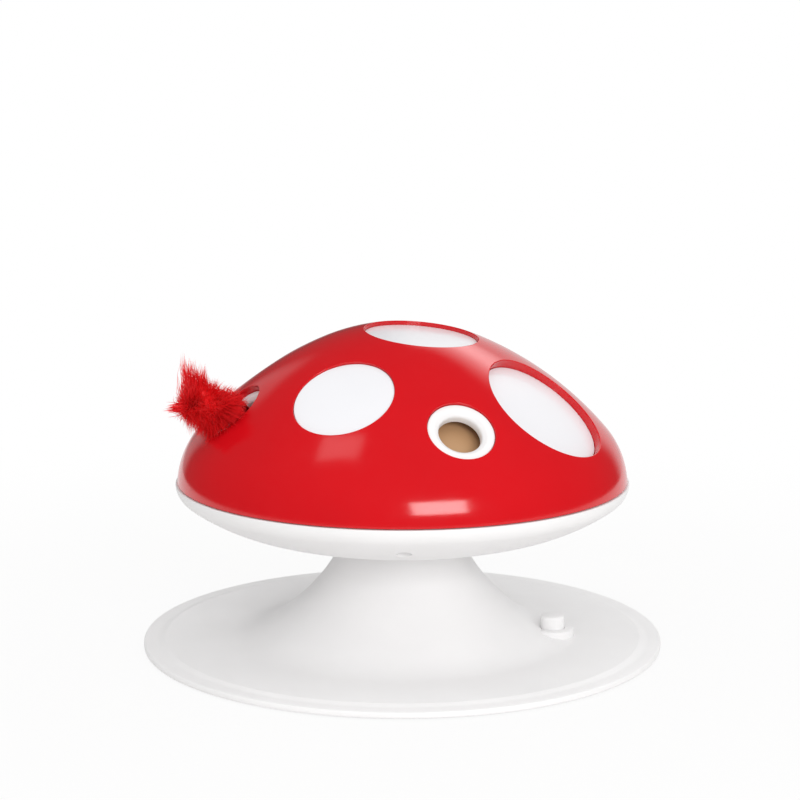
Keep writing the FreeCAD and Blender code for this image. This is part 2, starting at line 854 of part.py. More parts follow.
def idler_axles():
    return Part.Compound([cylinder(axle_radius, gearbox_bottom + axle_end, lid_top - axle_end, place)
                          for place in (first_place, second_place)])


def output_shaft():
    return cylinder(output_shaft_radius, gearbox_bottom + axle_end, rotor_crown - rotor_screw_depth)


def output_bushes():
    """Plain bronze bushes in the two plates."""
    bushes = []
    for bottom, top in ((gearbox_bottom, gear_floor), (gear_ceiling, lid_top)):
        ring = cylinder(output_shaft_radius + bush_wall, bottom, top)
        bushes.append(ring.cut(cylinder(output_shaft_radius + running_gap, bottom, top)))
    return Part.Compound(bushes)


def strip(start, end, half_width, bottom, top):
    """Straight web between two places."""
    along = end.sub(start)
    middle = start.add(end).multiply(0.5)
    azimuth = math.degrees(math.atan2(along.y, along.x))
    return block(along.Length, 2 * half_width, bottom, top, middle, azimuth)


def gearbox_slab(bottom, top):
    """Plate outline of the gearbox: a disc round every gear and an ear at every post."""
    wall = wheel_tip + gear_play + gearbox_wall
    homes = [output_place, second_place, first_place, motor_place]
    slab = [cylinder(wall, bottom, top, place) for place in homes[:3]]
    slab.append(cylinder(pinion_tip + gear_play + gearbox_wall, bottom, top, motor_place))
    for home, (x, y) in zip(homes, gearbox_ears):
        ear = V(x, y, 0)
        slab += [cylinder(ear_radius, bottom, top, ear), strip(home, ear, ear_radius, bottom, top)]
    return slab


def gearbox_base():
    slab = gearbox_slab(gearbox_bottom, gear_ceiling)
    slab.append(cylinder(motor_radius + 1.0, gearbox_bottom, gear_floor, motor_place))
    room = wheel_tip + gear_play
    cuts = [cylinder(room, gear_floor, gear_ceiling, place)
            for place in (output_place, second_place, first_place)]
    cuts.append(cylinder(pinion_tip + gear_play, gear_floor, gear_ceiling, motor_place))
    cuts += [cylinder(axle_radius, gearbox_bottom + axle_end, gear_ceiling, place)
             for place in (first_place, second_place)]
    cuts.append(cylinder(output_shaft_radius + bush_wall, 0.0, gear_ceiling))
    cuts.append(cylinder(motor_boss_radius + motor_hole_gap, 0.0, gear_ceiling, motor_place))
    return cut(fuse(slab), cuts)


def gearbox_cover():
    cuts = [cylinder(axle_radius, 0.0, lid_top - axle_end, place) for place in (first_place, second_place)]
    cuts.append(cylinder(output_shaft_radius + bush_wall, 0.0, 2 * lid_top))
    return cut(fuse(gearbox_slab(gear_ceiling, lid_top)), cuts)


# Motor and timer board

board_middle = at(board_inner_end + board_length / 2, button_azimuth)
board_top = board_height + board_thickness


def on_board(along, across):
    """Place on the timer board, measured from its middle."""
    return board_middle.add(at(along, button_azimuth)).add(at(across, button_azimuth + 90.0))


board_corners = [on_board(side * (board_length / 2 - board_post_inset),
                          side * (board_width / 2 - board_post_inset)) for side in (-1, 1)]
connector_place = on_board(-9.0, 6.5)
motor_lead_run = connector_place.sub(motor_place)
motor_lead_azimuth = math.degrees(math.atan2(motor_lead_run.y, motor_lead_run.x))


def flatted(radius, bottom, top):
    """Round can with two flats, one of them facing the timer board's connector."""
    can = cylinder(radius, bottom, top, motor_place)
    return can.common(block(motor_flat_width, 4 * radius, bottom, top, motor_place, motor_lead_azimuth))


def motor_can():
    can = flatted(motor_radius, gearbox_bottom - motor_can_length, gearbox_bottom)
    boss = cylinder(motor_boss_radius, gearbox_bottom, gearbox_bottom + motor_boss_height, motor_place)
    bore = cylinder(motor_shaft_radius + running_gap, gearbox_bottom - motor_shaft_depth - 0.3,
                    gear_ceiling, motor_place)
    return cut(fuse([can, boss]), [bore])


def motor_end_bell():
    top = gearbox_bottom - motor_can_length
    return flatted(motor_radius - motor_bell_inset, top - motor_bell_length, top)


def control_board():
    return block(board_length, board_width, board_height, board_top, board_middle, button_azimuth)


def board_components():
    """Timer chip, smoothing capacitor and lead connector."""
    chip = block(9.9, 3.9, board_top, board_top + 1.6, on_board(2.0, -4.0), button_azimuth)
    capacitor = cylinder(3.15, board_top, board_top + 7.0, on_board(11.0, 3.0))
    connector = block(connector_size, connector_size, board_top, board_top + connector_height,
                      connector_place, motor_lead_azimuth)
    return Part.Compound([chip, capacitor, connector])


# Rotor and tail


def rotor_depth():
    """Depth below the cap at which the tail port's axis meets the rotor's cone."""
    radius, height = cap_point(port_polar)
    lean = math.radians(port_polar)
    run = rotor_skirt_radius - rotor_roof_radius
    rise = rotor_roof_edge - rotor_skirt_top
    gap = (radius - rotor_skirt_radius) * rise + (height - rotor_skirt_top) * run
    return gap / (math.sin(lean) * rise + math.cos(lean) * run)


def rotor_drum():
    hub_bottom = lid_top + 2 * running_gap
    slope = math.atan2(rotor_roof_edge - rotor_skirt_top, rotor_skirt_radius - rotor_roof_radius)
    corner = rotor_wall * math.tan(slope / 2)
    dome = turned([
        (rotor_skirt_radius, rotor_skirt_bottom), (rotor_skirt_radius, rotor_skirt_top),
        (rotor_roof_radius, rotor_roof_edge), (rotor_screw_head_radius + crown_rim, rotor_crown),
        (0.0, rotor_crown),
        (0.0, hub_bottom), (rotor_hub_radius, hub_bottom), (rotor_hub_radius, rotor_crown - rotor_wall),
        (rotor_roof_radius - corner, rotor_roof_edge - rotor_wall),
        (rotor_skirt_radius - rotor_wall, rotor_skirt_top - corner),
        (rotor_skirt_radius - rotor_wall, rotor_skirt_bottom)])
    shaft = cylinder(output_shaft_radius, 0.0, 2 * rotor_crown)
    tail_hole = Part.makeCylinder(tail_hole_radius, 20.0, V(0, 0, -rotor_depth() - 10.0))
    return cut(dome, [shaft, on_cap(tail_hole, tail_azimuth, port_polar)])


def rotor_screw():
    shank = cylinder(output_shaft_radius, rotor_crown - rotor_screw_depth, rotor_crown)
    head = cylinder(rotor_screw_head_radius, rotor_crown, rotor_crown + rotor_screw_head_height)
    return fuse([shank, head])


def clip_lift():
    """How far the rotor's cone rises above the flat underside of the clip's flange."""
    cone = math.atan2(rotor_roof_edge - rotor_skirt_top, rotor_skirt_radius - rotor_roof_radius)
    lean = abs(math.radians(port_polar) - cone)
    return (tail_hole_radius + clip_flange) * math.tan(lean) + 0.05


def tail_clip():
    """Snap-in collar that grips the tail's core in the rotor's hole."""
    level = -rotor_depth()
    seat = level + clip_lift()
    body = turned([
        (core_radius, level - clip_depth), (tail_hole_radius, level - clip_depth),
        (tail_hole_radius, seat), (tail_hole_radius + clip_flange, seat),
        (tail_hole_radius + clip_flange, seat + clip_flange_thickness),
        (core_radius, seat + clip_flange_thickness)])
    return on_cap(body, tail_azimuth, port_polar)


def core_rod(radius):
    level = -rotor_depth() - clip_depth - core_tail
    return on_cap(Part.makeCylinder(radius, core_reach - level, V(0, 0, level)), tail_azimuth, port_polar)


def tail_core():
    return core_rod(core_radius)


def faceted(profile, sides):
    """Closed many-sided form about local Z through (radius, height) sections."""
    rings = [[at(radius, 360.0 * side / sides, height) for side in range(sides)] for radius, height in profile]
    outlines = [rings[0], rings[-1]]
    for low, high in zip(rings, rings[1:]):
        outlines += [[low[k - 1], low[k], high[k], high[k - 1]] for k in range(sides)]
    faces = [Part.Face(Part.makePolygon(outline + outline[:1])) for outline in outlines]
    return Part.Solid(Part.makeShell(faces))


def tail_fur():
    """Plain form of the fur: a neck through the port and a tuft that leans out over the edge."""
    start = -rotor_depth() + clip_lift() + clip_flange_thickness + soft_gap
    neck = on_cap(faceted([(fur_neck_radius, start), (fur_neck_radius, fur_neck_reach)], fur_sides),
                  tail_azimuth, port_polar)
    radius, height = cap_point(port_polar)
    tuft = faceted([
        (fur_root_radius, 0.0), (fur_full_radius * 0.75, fur_length * 0.28),
        (fur_full_radius, fur_length * 0.55), (fur_full_radius * 0.88, fur_length * 0.78),
        (fur_full_radius * 0.5, fur_length * 0.94), (fur_tip_radius, fur_length)], fur_sides)
    tuft.rotate(V(0, 0, 0), V(0, 1, 0), 90.0 - fur_tilt)
    tuft.rotate(V(0, 0, 0), V(0, 0, 1), tail_azimuth)
    tuft.translate(at(radius, tail_azimuth, height + fur_start_height))
    return cut(fuse([neck, tuft]), [core_rod(core_radius)])


# Leads


def rounded_run(points, shift):
    """Edges beside a route of straight runs joined by tangent arcs, and the arcs' radii."""
    def beside(start, end):
        along = end.sub(start).normalize()
        return V(-along.z, 0, along.x).multiply(shift)

    edges = []
    radii = []
    start = points[0].add(beside(points[0], points[1]))
    for before, corner, after in zip(points, points[1:], points[2:]):
        into = corner.sub(before)
        out = after.sub(corner)
        turn = into.getAngle(out)
        left = into.z * out.x - into.x * out.z < 0
        setback = 0.45 * min(into.Length, out.Length)
        radius = setback / math.tan(turn / 2)
        enter = corner.sub(V(into).normalize().multiply(setback))
        leave = corner.add(V(out).normalize().multiply(setback))
        side = V(-into.z, 0, into.x).normalize().multiply(radius if left else -radius)
        centre = enter.add(side)
        scale = (radius - shift) / radius if left else (radius + shift) / radius
        peak = centre.add(corner.sub(centre).normalize().multiply(radius))
        near, middle, far = [centre.add(p.sub(centre).multiply(scale)) for p in (enter, peak, leave)]
        edges += [Part.LineSegment(start, near).toShape(), Part.Arc(near, middle, far).toShape()]
        radii.append(round(radius, 1))
        start = far
    finish = points[-1].add(beside(points[-2], points[-1]))
    edges.append(Part.LineSegment(start, finish).toShape())
    return edges, radii


def lead(name, points, place, azimuth):
    """Flat two-core lead along a route in an upright plane through a place."""
    route = [V(along, 0, height) for along, height in points]
    upper, radii = rounded_run(route, lead_thickness / 2)
    lower = rounded_run(route, -lead_thickness / 2)[0]
    ends_of = [Part.LineSegment(upper[i].Vertexes[j].Point, lower[i].Vertexes[j].Point).toShape()
               for i, j in ((0, 0), (-1, -1))]
    face = Part.Face(Part.Wire(Part.__sortEdges__(upper + lower + ends_of)))
    body = face.extrude(V(0, lead_width, 0))
    body.translate(V(0, -lead_width / 2, 0))
    print(name, "arc radii", radii)
    return placed(body, place, azimuth)


def switch_leads():
    """From the switch under the plate, up the stem and out to the timer board."""
    near = cover_top + lead_thickness / 2
    level = board_height + board_thickness / 2
    points = [(button_ring_radius - pocket_radius + 3 * button_gap, near), (floor_run_end, near),
              (stem_foot_radius, stem_foot_height), (lead_rise_radius, lead_rise_start),
              (lead_rise_radius, level), (board_inner_end, level)]
    return lead("switch lead", points, V(0, 0, 0), button_azimuth)


def battery_leads():
    """From the tub's roof to the timer board."""
    crest = max(tub_top, board_top) + battery_lead_crest
    finish = board_inner_end + battery_lead_inset
    points = [(battery_lead_start, tub_top), (battery_lead_start, crest), (finish, crest),
              (finish, board_top)]
    return lead("battery lead", points, V(0, 0, 0), button_azimuth)


def motor_leads():
    """From the motor's end bell to the connector on the timer board."""
    low = gearbox_bottom - motor_can_length - motor_bell_length / 2
    high = board_top + connector_height / 2
    points = [(motor_flat_width / 2, low), (motor_lead_low, low), (motor_lead_high, high),
              (motor_lead_run.Length - connector_size / 2, high)]
    return lead("motor lead", points, motor_place, motor_lead_azimuth)


makers = [
    base_pedestal, bottom_cover, rubber_feet, battery_tub, battery_cells, top_contacts, battery_door,
    door_contacts, power_button, switch_plunger, push_switch, switch_board, lower_shell, upper_shell,
    port_bushes, motor_can, motor_end_bell, motor_shaft, motor_pinion, first_gear, second_gear,
    output_gear, idler_axles, output_bushes, output_shaft, gearbox_base, gearbox_cover, control_board,
    board_components, rotor_drum, rotor_screw, tail_clip, tail_core, tail_fur, switch_leads,
    battery_leads, motor_leads,
]

os.makedirs("parts", exist_ok=True)
for make in makers:
    make().exportStep("parts/" + make.__name__ + ".step")
for name, spot in spots.items():
    spot_disc(spot).exportStep("parts/spot_disc_" + name + ".step")
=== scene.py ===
import json
import math
import random

import bmesh
import bpy
from bpy.props import FloatProperty, FloatVectorProperty, IntProperty, PointerProperty
from mathutils import Matrix, Vector, geometry, kdtree


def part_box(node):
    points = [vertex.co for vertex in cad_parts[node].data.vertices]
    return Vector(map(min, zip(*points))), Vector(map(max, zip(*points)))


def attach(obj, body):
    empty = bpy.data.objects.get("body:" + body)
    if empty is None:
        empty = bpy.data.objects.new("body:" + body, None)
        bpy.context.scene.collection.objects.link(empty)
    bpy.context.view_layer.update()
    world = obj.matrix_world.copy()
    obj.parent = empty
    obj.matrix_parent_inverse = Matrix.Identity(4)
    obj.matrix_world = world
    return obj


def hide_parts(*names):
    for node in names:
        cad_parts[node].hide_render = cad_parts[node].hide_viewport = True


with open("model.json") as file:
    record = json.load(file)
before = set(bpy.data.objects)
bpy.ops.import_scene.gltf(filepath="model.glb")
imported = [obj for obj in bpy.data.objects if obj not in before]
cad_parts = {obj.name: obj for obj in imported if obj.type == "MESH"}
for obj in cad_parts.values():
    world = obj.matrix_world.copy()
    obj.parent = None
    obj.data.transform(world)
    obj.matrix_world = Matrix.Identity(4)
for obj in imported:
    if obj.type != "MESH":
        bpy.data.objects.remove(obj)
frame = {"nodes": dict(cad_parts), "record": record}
bpy.context.view_layer.update()

bl_info = {
    "name": "Mushroom Cat Teaser",
    "version": (1, 0, 0),
    "blender": (4, 5, 0),
    "location": "View3D > Sidebar > Cat Teaser",
    "description": "Moulded shells, fur tail and finishes of a motorised cat teaser toy",
    "category": "Object",
}

MM = 0.001
# Smallest distance or angle that counts as one
TINY = 1e-9

# Levels and radii of the mouldings, in metres; the arcs are (bend, sweep in degrees), each tangent
# to the one before, and the last sweep's bend is found from where it has to end
BASE_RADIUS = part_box("base_pedestal")[1].x
NECK_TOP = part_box("base_pedestal")[1].z
GROUND_GAP = 0.6 * MM
NECK_RADIUS = 27.5 * MM
FLARE_TOP = 50.2 * MM
FLARE_ARCS = [(25.0 * MM, 32.2), (85.5 * MM, 27.8)]
FLARE_LAST_SWEEP = 30.0
PLATE_BEND = 100.0
PLATE_TOP = 4.0 * MM
PLATE_EDGE = BASE_RADIUS - 9.5 * MM
RIM_TOP = 3.3 * MM
RIM_EDGE = 0.9 * MM
RIM_SLOPE = 3.0 * MM
COVER_BORE = 103.2 * MM
BASE_WALL = 1.9 * MM

SEAM = 73.77 * MM
BOWL_RADIUS = 99.94 * MM
BOWL_ARCS = [(8.52 * MM, -54.2), (81.9 * MM, -19.0)]
BOWL_LAST_SWEEP = -16.8
BOWL_WALL = 2.4 * MM
BOWL_RIM_EDGE = 0.45 * MM
BOWL_HOLE = 18.4 * MM
TONGUE_RADIUS = 96.15 * MM
TONGUE_THICKNESS = 1.5 * MM
TONGUE_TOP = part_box("lower_shell")[1].z
TONGUE_LEDGE = 72.4 * MM

CAP_RADIUS = 99.16 * MM
CAP_EQUATOR = 72.2 * MM
CAP_ARCS = [(36.58 * MM, 40.75), (151.67 * MM, 25.63)]
CAP_LAST_SWEEP = 23.62
CAP_BOTTOM = SEAM + 0.35 * MM
CAP_EDGE = 0.4 * MM
CAP_WALL = 2.2 * MM
CUP_WALL = 1.6 * MM
CUP_FLOOR = 1.2 * MM

# Ports: azimuth and depth of the dome's edge above the ring's face
PORTS = {
    "right": (0.0, 0.9 * MM),
    "rear": (90.0, 0.9 * MM),
    "left": (180.0, 3.0 * MM),
    "front": (270.0, 0.9 * MM),
}
PORT_POLAR = 42.0
PORT_FLANGE = 14.2 * MM
PORT_BORE = 9.1 * MM
PORT_TUBE = 11.0 * MM
PORT_FLANGE_THICKNESS = 1.4 * MM
PORT_FUNNEL_WIDTH = 2.2 * MM
PORT_FUNNEL_DEPTH = 1.6 * MM
PORT_LENGTH = 5.0 * MM
PORT_GAP = 0.2 * MM
PORT_SEAT = 1.4 * MM
PORT_ROOM = PORT_BORE + 1.0 * MM

# Spots: azimuth, polar angle, radius of the disc, depth of the dome's edge above its face
SPOTS = {
    "top": (306.5, 6.7, 24.75 * MM, 2.0 * MM),
    "front_left": (228.0, 35.0, 21.5 * MM, 0.6 * MM),
    "front_right": (311.6, 39.5, 28.6 * MM, 3.3 * MM),
    "rear_left": (137.0, 37.0, 24.0 * MM, 2.0 * MM),
    "rear_right": (44.0, 38.5, 21.0 * MM, 2.0 * MM),
}
DISC_THICKNESS = 1.2 * MM
DISC_GAP = 0.15 * MM

BUTTON_RING = 67.0 * MM
BUTTON_AZIMUTH = -24.0
BUTTON_RADIUS = 5.3 * MM
BUTTON_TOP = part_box("power_button")[1].z
BUTTON_FLANGE_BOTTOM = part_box("power_button")[0].z
BUTTON_FLANGE_TOP = BUTTON_FLANGE_BOTTOM + 1.0 * MM
BUTTON_FLANGE = 1.8 * MM
BUTTON_WALL = 0.9 * MM
BUTTON_ROOF = 1.9 * MM
BUTTON_BORE = BUTTON_RADIUS + 0.12 * MM
# Crown of the button's top: share of its radius and drop below the middle
BUTTON_CROWN = [(0.45, 0.06 * MM), (0.75, 0.2 * MM), (1.0, 0.45 * MM)]

# How far edges are eased: parts that touch, thin lips, the discs, moulded edges, the port rings'
# faces and funnels, round crowns, the base's rim
TOUCH_EASE = 0.1 * MM
LIP_EASE = 0.2 * MM
DISC_EASE = 0.25 * MM
EDGE_EASE = 0.3 * MM
FACE_EASE = 0.4 * MM
FUNNEL_EASE = 0.6 * MM
ROUND_EASE = 0.9 * MM
RIM_EASE = 1.2 * MM
COLLAR_RADIUS = 9.6 * MM
COLLAR_BORE = BUTTON_BORE + 0.04 * MM
COLLAR_ROOM = BUTTON_RADIUS + BUTTON_FLANGE + 0.24 * MM
COLLAR_TOP = 7.6 * MM
COLLAR_ROOF = 1.2 * MM
COLLAR_FOOT = PLATE_TOP - 1.0 * MM

# Screws: rings and azimuths, the sinks in the bowl, and the heads with their cross recess, whose
# flat, arms and sides are shares of the head's radius and height
SHELL_SCREWS = (86.0 * MM, [72.0, 162.0, 252.0, 342.0])
COVER_SCREWS = (50.0 * MM, [45.0, 135.0, 225.0, 315.0])
COVER_SCREW_FLOOR = GROUND_GAP + 0.9 * MM
SINK_RADIUS = 3.2 * MM
SINK_TOP = 64.6 * MM
SINK_WALL = 2.2 * MM
SINK_FLOOR = 2.0 * MM
HEAD_RADIUS = 2.7 * MM
SHELL_HEAD = 1.7 * MM
COVER_HEAD = 0.8 * MM
ROTOR_HEAD = 1.8 * MM
ROTOR_SHANK = 2.0 * MM
HEAD_FLAT = 0.72
HEAD_SIDE = 0.35
HEAD_STEPS = 5
CROSS_ARM = 0.56
CROSS_HALF = 0.13
CROSS_FOOT = 0.6

# Numbers of points round the mouldings and over a rounded edge
RIM_POINTS = 288
NECK_POINTS = 120
SPOT_POINTS = 112
BUSH_POINTS = 96
PORT_POINTS = 72
SMALL_POINTS = 48
EASE_STEPS = 5
SHARP = math.radians(34.0)
TRUE_WITHIN = math.cos(math.radians(26.0))

# The fur's side view: x and z about the toy's axis in mm, from the port round by the top; its middle, and how
# far from it the colour has turned from the painted shade of the depth to the lighter tips
FLUFF_OUTLINE = [
    (-70.4, 119.5), (-76.0, 120.2), (-80.6, 119.6), (-87.1, 125.7), (-91.0, 128.6), (-95.0, 130.6),
    (-98.6, 130.2), (-98.9, 122.9), (-102.5, 114.4), (-107.0, 110.4), (-100.9, 107.4), (-97.1, 101.0),
    (-92.8, 96.4), (-84.0, 96.7), (-74.5, 101.0), (-68.0, 110.0)]
FLUFF_CENTRE = Vector((-87.5, 0.0, 110.5)) * MM
FLUFF_REACH = 24 * MM

# The spine that the hairs leave: its depth in the port, what draws its bend, and its end
SPINE_ROOT = -9.0 * MM
SPINE_PULL = Vector((-5.0, 0.0, 6.5)) * MM
SPINE_END = Vector((-98.0, 0.0, 110.0)) * MM
SPINE_STEPS = 24
# Share of the spine beyond which no hair starts
SPINE_LAST = 0.999

# The closed core under the hairs: a shrunk and rippled form of the fluff
CORE_ROWS = 18
CORE_POINTS = 36
CORE_SHARE = 0.5
CORE_RIPPLE = 0.04
CORE_WAVES = (5, 3)
CORE_GAP = 0.6 * MM

# A hair: prism sides, steps, taper, clearance and thickness
HAIR_SIDES = 3
HAIR_STEPS = 4
HAIR_TAPER = 0.8
HAIR_GAP = 0.3 * MM
HAIR_THICKNESS = (0.7, 1.15)
# A lock: how its hairs scatter along the spine and how long they are, how far out its tip lies,
# its spread, its place on the spine, and how its hairs lean ahead and stray
LOCK_SCATTER = 0.06
LOCK_STARTS = (0.3, 0.98)
LOCK_LENGTHS = (0.72, 1.0)
LOCK_TIPS = (0.84, 1.0)
LOCK_SPREAD = 0.9 * MM
LOCK_SHARE = (0.42, 0.4)
LEAN_WAY = Vector((-1.0, 0.0, 0.15))
LEAN_SHARE = 0.22
LEAN_AT = 0.45
STRAY_START = 0.8 * MM
STRAY_MIDDLE = 0.9 * MM

# Ragged crest along the fluff's top: locks, first tip and run in x and z, uneven rise, half
# width, place on the spine and its change, hairs, spread; numbers of length in mm
CREST_LOCKS = 11
CREST_START = (-99.6, 134.6)
CREST_RUN = (11.5, -6.5)
CREST_RAG = (-1.4, 1.2)
CREST_HALF = 4.5
CREST_SHARE = (0.78, -0.2)
CREST_HAIRS = (26, 0.45, 1.1)
# Point at the fluff's outer end: locks, first x, step and level, how far the tips stray sideways
# and up, place on the spine, hairs, spread; numbers of length in mm
POINT_LOCKS = 5
POINT_START = (-107.6, 1.3, 110.6)
POINT_ASIDE = (-3.0, 3.0)
POINT_RAG = (-1.2, 1.6)
POINT_SHARE = 0.9
POINT_HAIRS = (20, 0.5)
# Fur that lies over the port's ring: locks, turns in degrees, reach and rise in mm about the
# port's axis, shift, place on the spine, hairs, spread in mm
COLLAR_FURS = [
    (90, (-130.0, 128.0), (12.5, 17.5), (0.8, 5.0), (-2.0, 0.0, -1.0), 0.36, 14, 1.0),
    (76, (0.0, 100.0), (16.5, 21.0), (-2.0, 0.5), (0.0, 0.0, 0.0), 0.33, 16, 0.8),
]
# Strands through the port: number, radius and rise in mm about its axis, thickness of the strand
STRANDS = 360
STRAND_OUT = (2.4, 6.2)
STRAND_LOW = -8.5 * MM
STRAND_SQUEEZE = 0.8
STRAND_RISE = (2.0, 7.0)
STRAND_AHEAD = (3.0, 9.0)
STRAND_STRAY = 1.5
STRAND_THICKNESS = 1.6

# Sockets of a Mix node: its two numbers, its two colours, and its colour result
NUMBER_A, NUMBER_B, COLOUR_A, COLOUR_B, COLOUR_OUT = 2, 3, 6, 7, 2

# Camera fitted to the photograph's edges, and the lamps: azimuth, elevation and roll in degrees
# about the toy, distance and size in metres
CAMERA_PLACE = Vector((-305.4, -912.4, 279.9)) * MM
CAMERA_AIM = Vector((-1.1, 0.0, 109.1)) * MM
CAMERA_LENS = 100.0
CAMERA_SENSOR = 36.0
LAMP_AIM = Vector((0.0, 0.0, 95.0 * MM))
LAMPS = {
    "key": (269.6, 17.6, 0.0, 1.5, (0.69, 0.405)),
    "side": (183.0, 66.0, 45.0, 1.4, (0.39, 0.23)),
}
FLOOR_TONES = ("#E7E6E5", "#EDECEB")
FLOOR_GRAIN = 120 * MM
FLOOR_FADE = {"From Min": 0.12, "From Max": 0.5, "To Min": 0.88, "To Max": 1.0}
FLOOR_MIRROR = 0.75

# The studio as glossy surfaces mirror it, by direction along the toy's side, ahead and up. Each
# field is a level times fades of (axis, where it is 0, where it is 1, kind of fade)
SIDE_AXIS = (-0.9483, 0.3173, 0.0)
AHEAD_AXIS = (0.3173, 0.9483, 0.0)
TILT_AXIS = (0.0, -0.2, 0.98)
WALL_EDGE = {"From Min": -0.05, "From Max": 0.01, "To Min": -0.52, "To Max": 0.06}
BEHIND = ("ahead", 0.1, 0.3, "SMOOTHSTEP")
FIELDS = {
    # low white wall behind the toy, whose top edge steps down to the left
    "wall": (1.0, [("side", -0.66, -0.45, "SMOOTHSTEP"), ("side", 0.56, 0.42, "LINEAR"), BEHIND,
                   ("above", 0.12, -0.12, "SMOOTHSTEP")]),
    # dim card at the left, taller than the wall
    "card": (0.45, [("up", 0.54, 0.46, "LINEAR"), ("side", 0.3, 0.37, "LINEAR"),
                    ("side", 0.58, 0.5, "LINEAR"), BEHIND]),
    # bright window pane high at the right
    "pane": (2.7, [("up", 0.4, 0.58, "LINEAR"), ("up", 0.79, 0.62, "LINEAR"),
                   ("side", -0.01, -0.08, "LINEAR"), ("side", -0.5, -0.38, "LINEAR"), BEHIND]),
}
MIRROR_LEVELS = (0.09, 0.8)
AMBIENT_SHARES = (0.3, 1.7)


def linear(code):
    """Linear colour of an sRGB hex value."""
    shares = [int(code[at:at + 2], 16) / 255 for at in (1, 3, 5)]
    return [s / 12.92 if s <= 0.04045 else ((s + 0.055) / 1.055) ** 2.4 for s in shares]


def opaque(code):
    """Linear colour of an sRGB hex value, with full alpha."""
    return linear(code) + [1.0]


def heading(angle):
    """Unit direction of an angle in radians."""
    return Vector((math.cos(angle), math.sin(angle)))


def turns(count):
    """Even angles of a full turn."""
    return [2 * math.pi * step / count for step in range(count)]


def swung(radius, angle, height=0.0):
    """Point at a radius, an angle in radians and a height about an axis."""
    out = heading(angle)
    return Vector((radius * out.x, radius * out.y, height))


def on_ring(radius, azimuth, height=0.0):
    """Point at a radius and an azimuth in degrees about the toy's axis."""
    return swung(radius, math.radians(azimuth), height)


def chained(start, angle, arcs, last_sweep, coordinate, target):
    """Tangent arcs as (centre, bend, first angle, last angle); the last bend reaches the target."""
    chain = []
    point = Vector(start)
    for bend, sweep in arcs + [(None, last_sweep)]:
        out = heading(math.radians(angle))
        beyond = heading(math.radians(angle + sweep))
        if bend is None:
            bend = (target - point[coordinate]) / (beyond[coordinate] - out[coordinate])
        centre = point - bend * out
        chain.append((centre, bend, math.radians(angle), math.radians(angle + sweep)))
        point = centre + bend * beyond
        angle += sweep
    return chain


def trimmed(chain, height):
    """Chain that starts where its first arc reaches a height."""
    centre, bend, first, last = chain[0]
    lean = math.asin((height - centre.y) / bend)
    return [(centre, bend, math.pi - lean if first > math.pi / 2 else lean, last)] + chain[1:]


def reversed_chain(chain):
    """The same arcs run the other way."""
    return [(centre, bend, last, first) for centre, bend, first, last in reversed(chain)]


class Shell:
    """Surface of revolution made of tangent arcs, listed from the axis outwards.

    A way is measured along the arcs and starts at the inner edge's radius, so that way and
    azimuth lay the surface out flat with little stretch.
    """

    def __init__(self, arcs, side):
        self.side = side
        self.arcs = []
        centre, bend, first = arcs[0][:3]
        way = max(centre.x + bend * math.cos(first), 0.0)
        self.start = way
        for centre, bend, first, last in arcs:
            beyond = way + bend * abs(last - first)
            self.arcs.append((centre, bend, first, last, way, beyond))
            way = beyond
        self.end = way

    def section(self, way):
        """Centre, bend and angle of the arc at a way."""
        found = [arc for arc in self.arcs if way >= arc[4]] or self.arcs[:1]
        centre, bend, first, last, begin, beyond = found[-1]
        return centre, bend, first + (last - first) * (way - begin) / (beyond - begin)

    def point(self, way, azimuth, lift=0.0):
        """Point at a way and an azimuth in radians, lifted off the surface."""
        centre, bend, angle = self.section(way)
        reach = bend + self.side * lift
        radius = centre.x + reach * math.cos(angle)
        height = centre.y + reach * math.sin(angle)
        return Vector((radius * math.cos(azimuth), radius * math.sin(azimuth), height))

    def normal(self, way, azimuth):
        """Outward direction at a way and an azimuth."""
        angle = self.section(way)[2]
        out = self.side * math.cos(angle)
        return Vector((out * math.cos(azimuth), out * math.sin(azimuth), self.side * math.sin(angle)))

    def locate(self, point):
        """Way, azimuth and height above the surface of a point near it."""
        radius = math.hypot(point.x, point.y)
        found = None
        for centre, bend, first, last, begin, beyond in self.arcs:
            angle = math.atan2(point.z - centre.y, radius - centre.x)
            angle += 2 * math.pi * round(((first + last) / 2 - angle) / (2 * math.pi))
            share = (angle - first) / (last - first)
            miss = max(-share, share - 1.0, 0.0) * (beyond - begin)
            if found is None or miss < found[0]:
                lift = self.side * (math.hypot(point.z - centre.y, radius - centre.x) - bend)
                found = (miss, begin + share * (beyond - begin), lift)
        return found[1], math.atan2(point.y, point.x), found[2]

    def ring(self, way, count, lift=0.0):
        """Points and directions of an even ring; those of an inner skin look inwards."""
        sign = 1.0 if lift == 0.0 else -1.0
        return ([self.point(way, turn, lift) for turn in turns(count)],
                [sign * self.normal(way, turn) for turn in turns(count)])


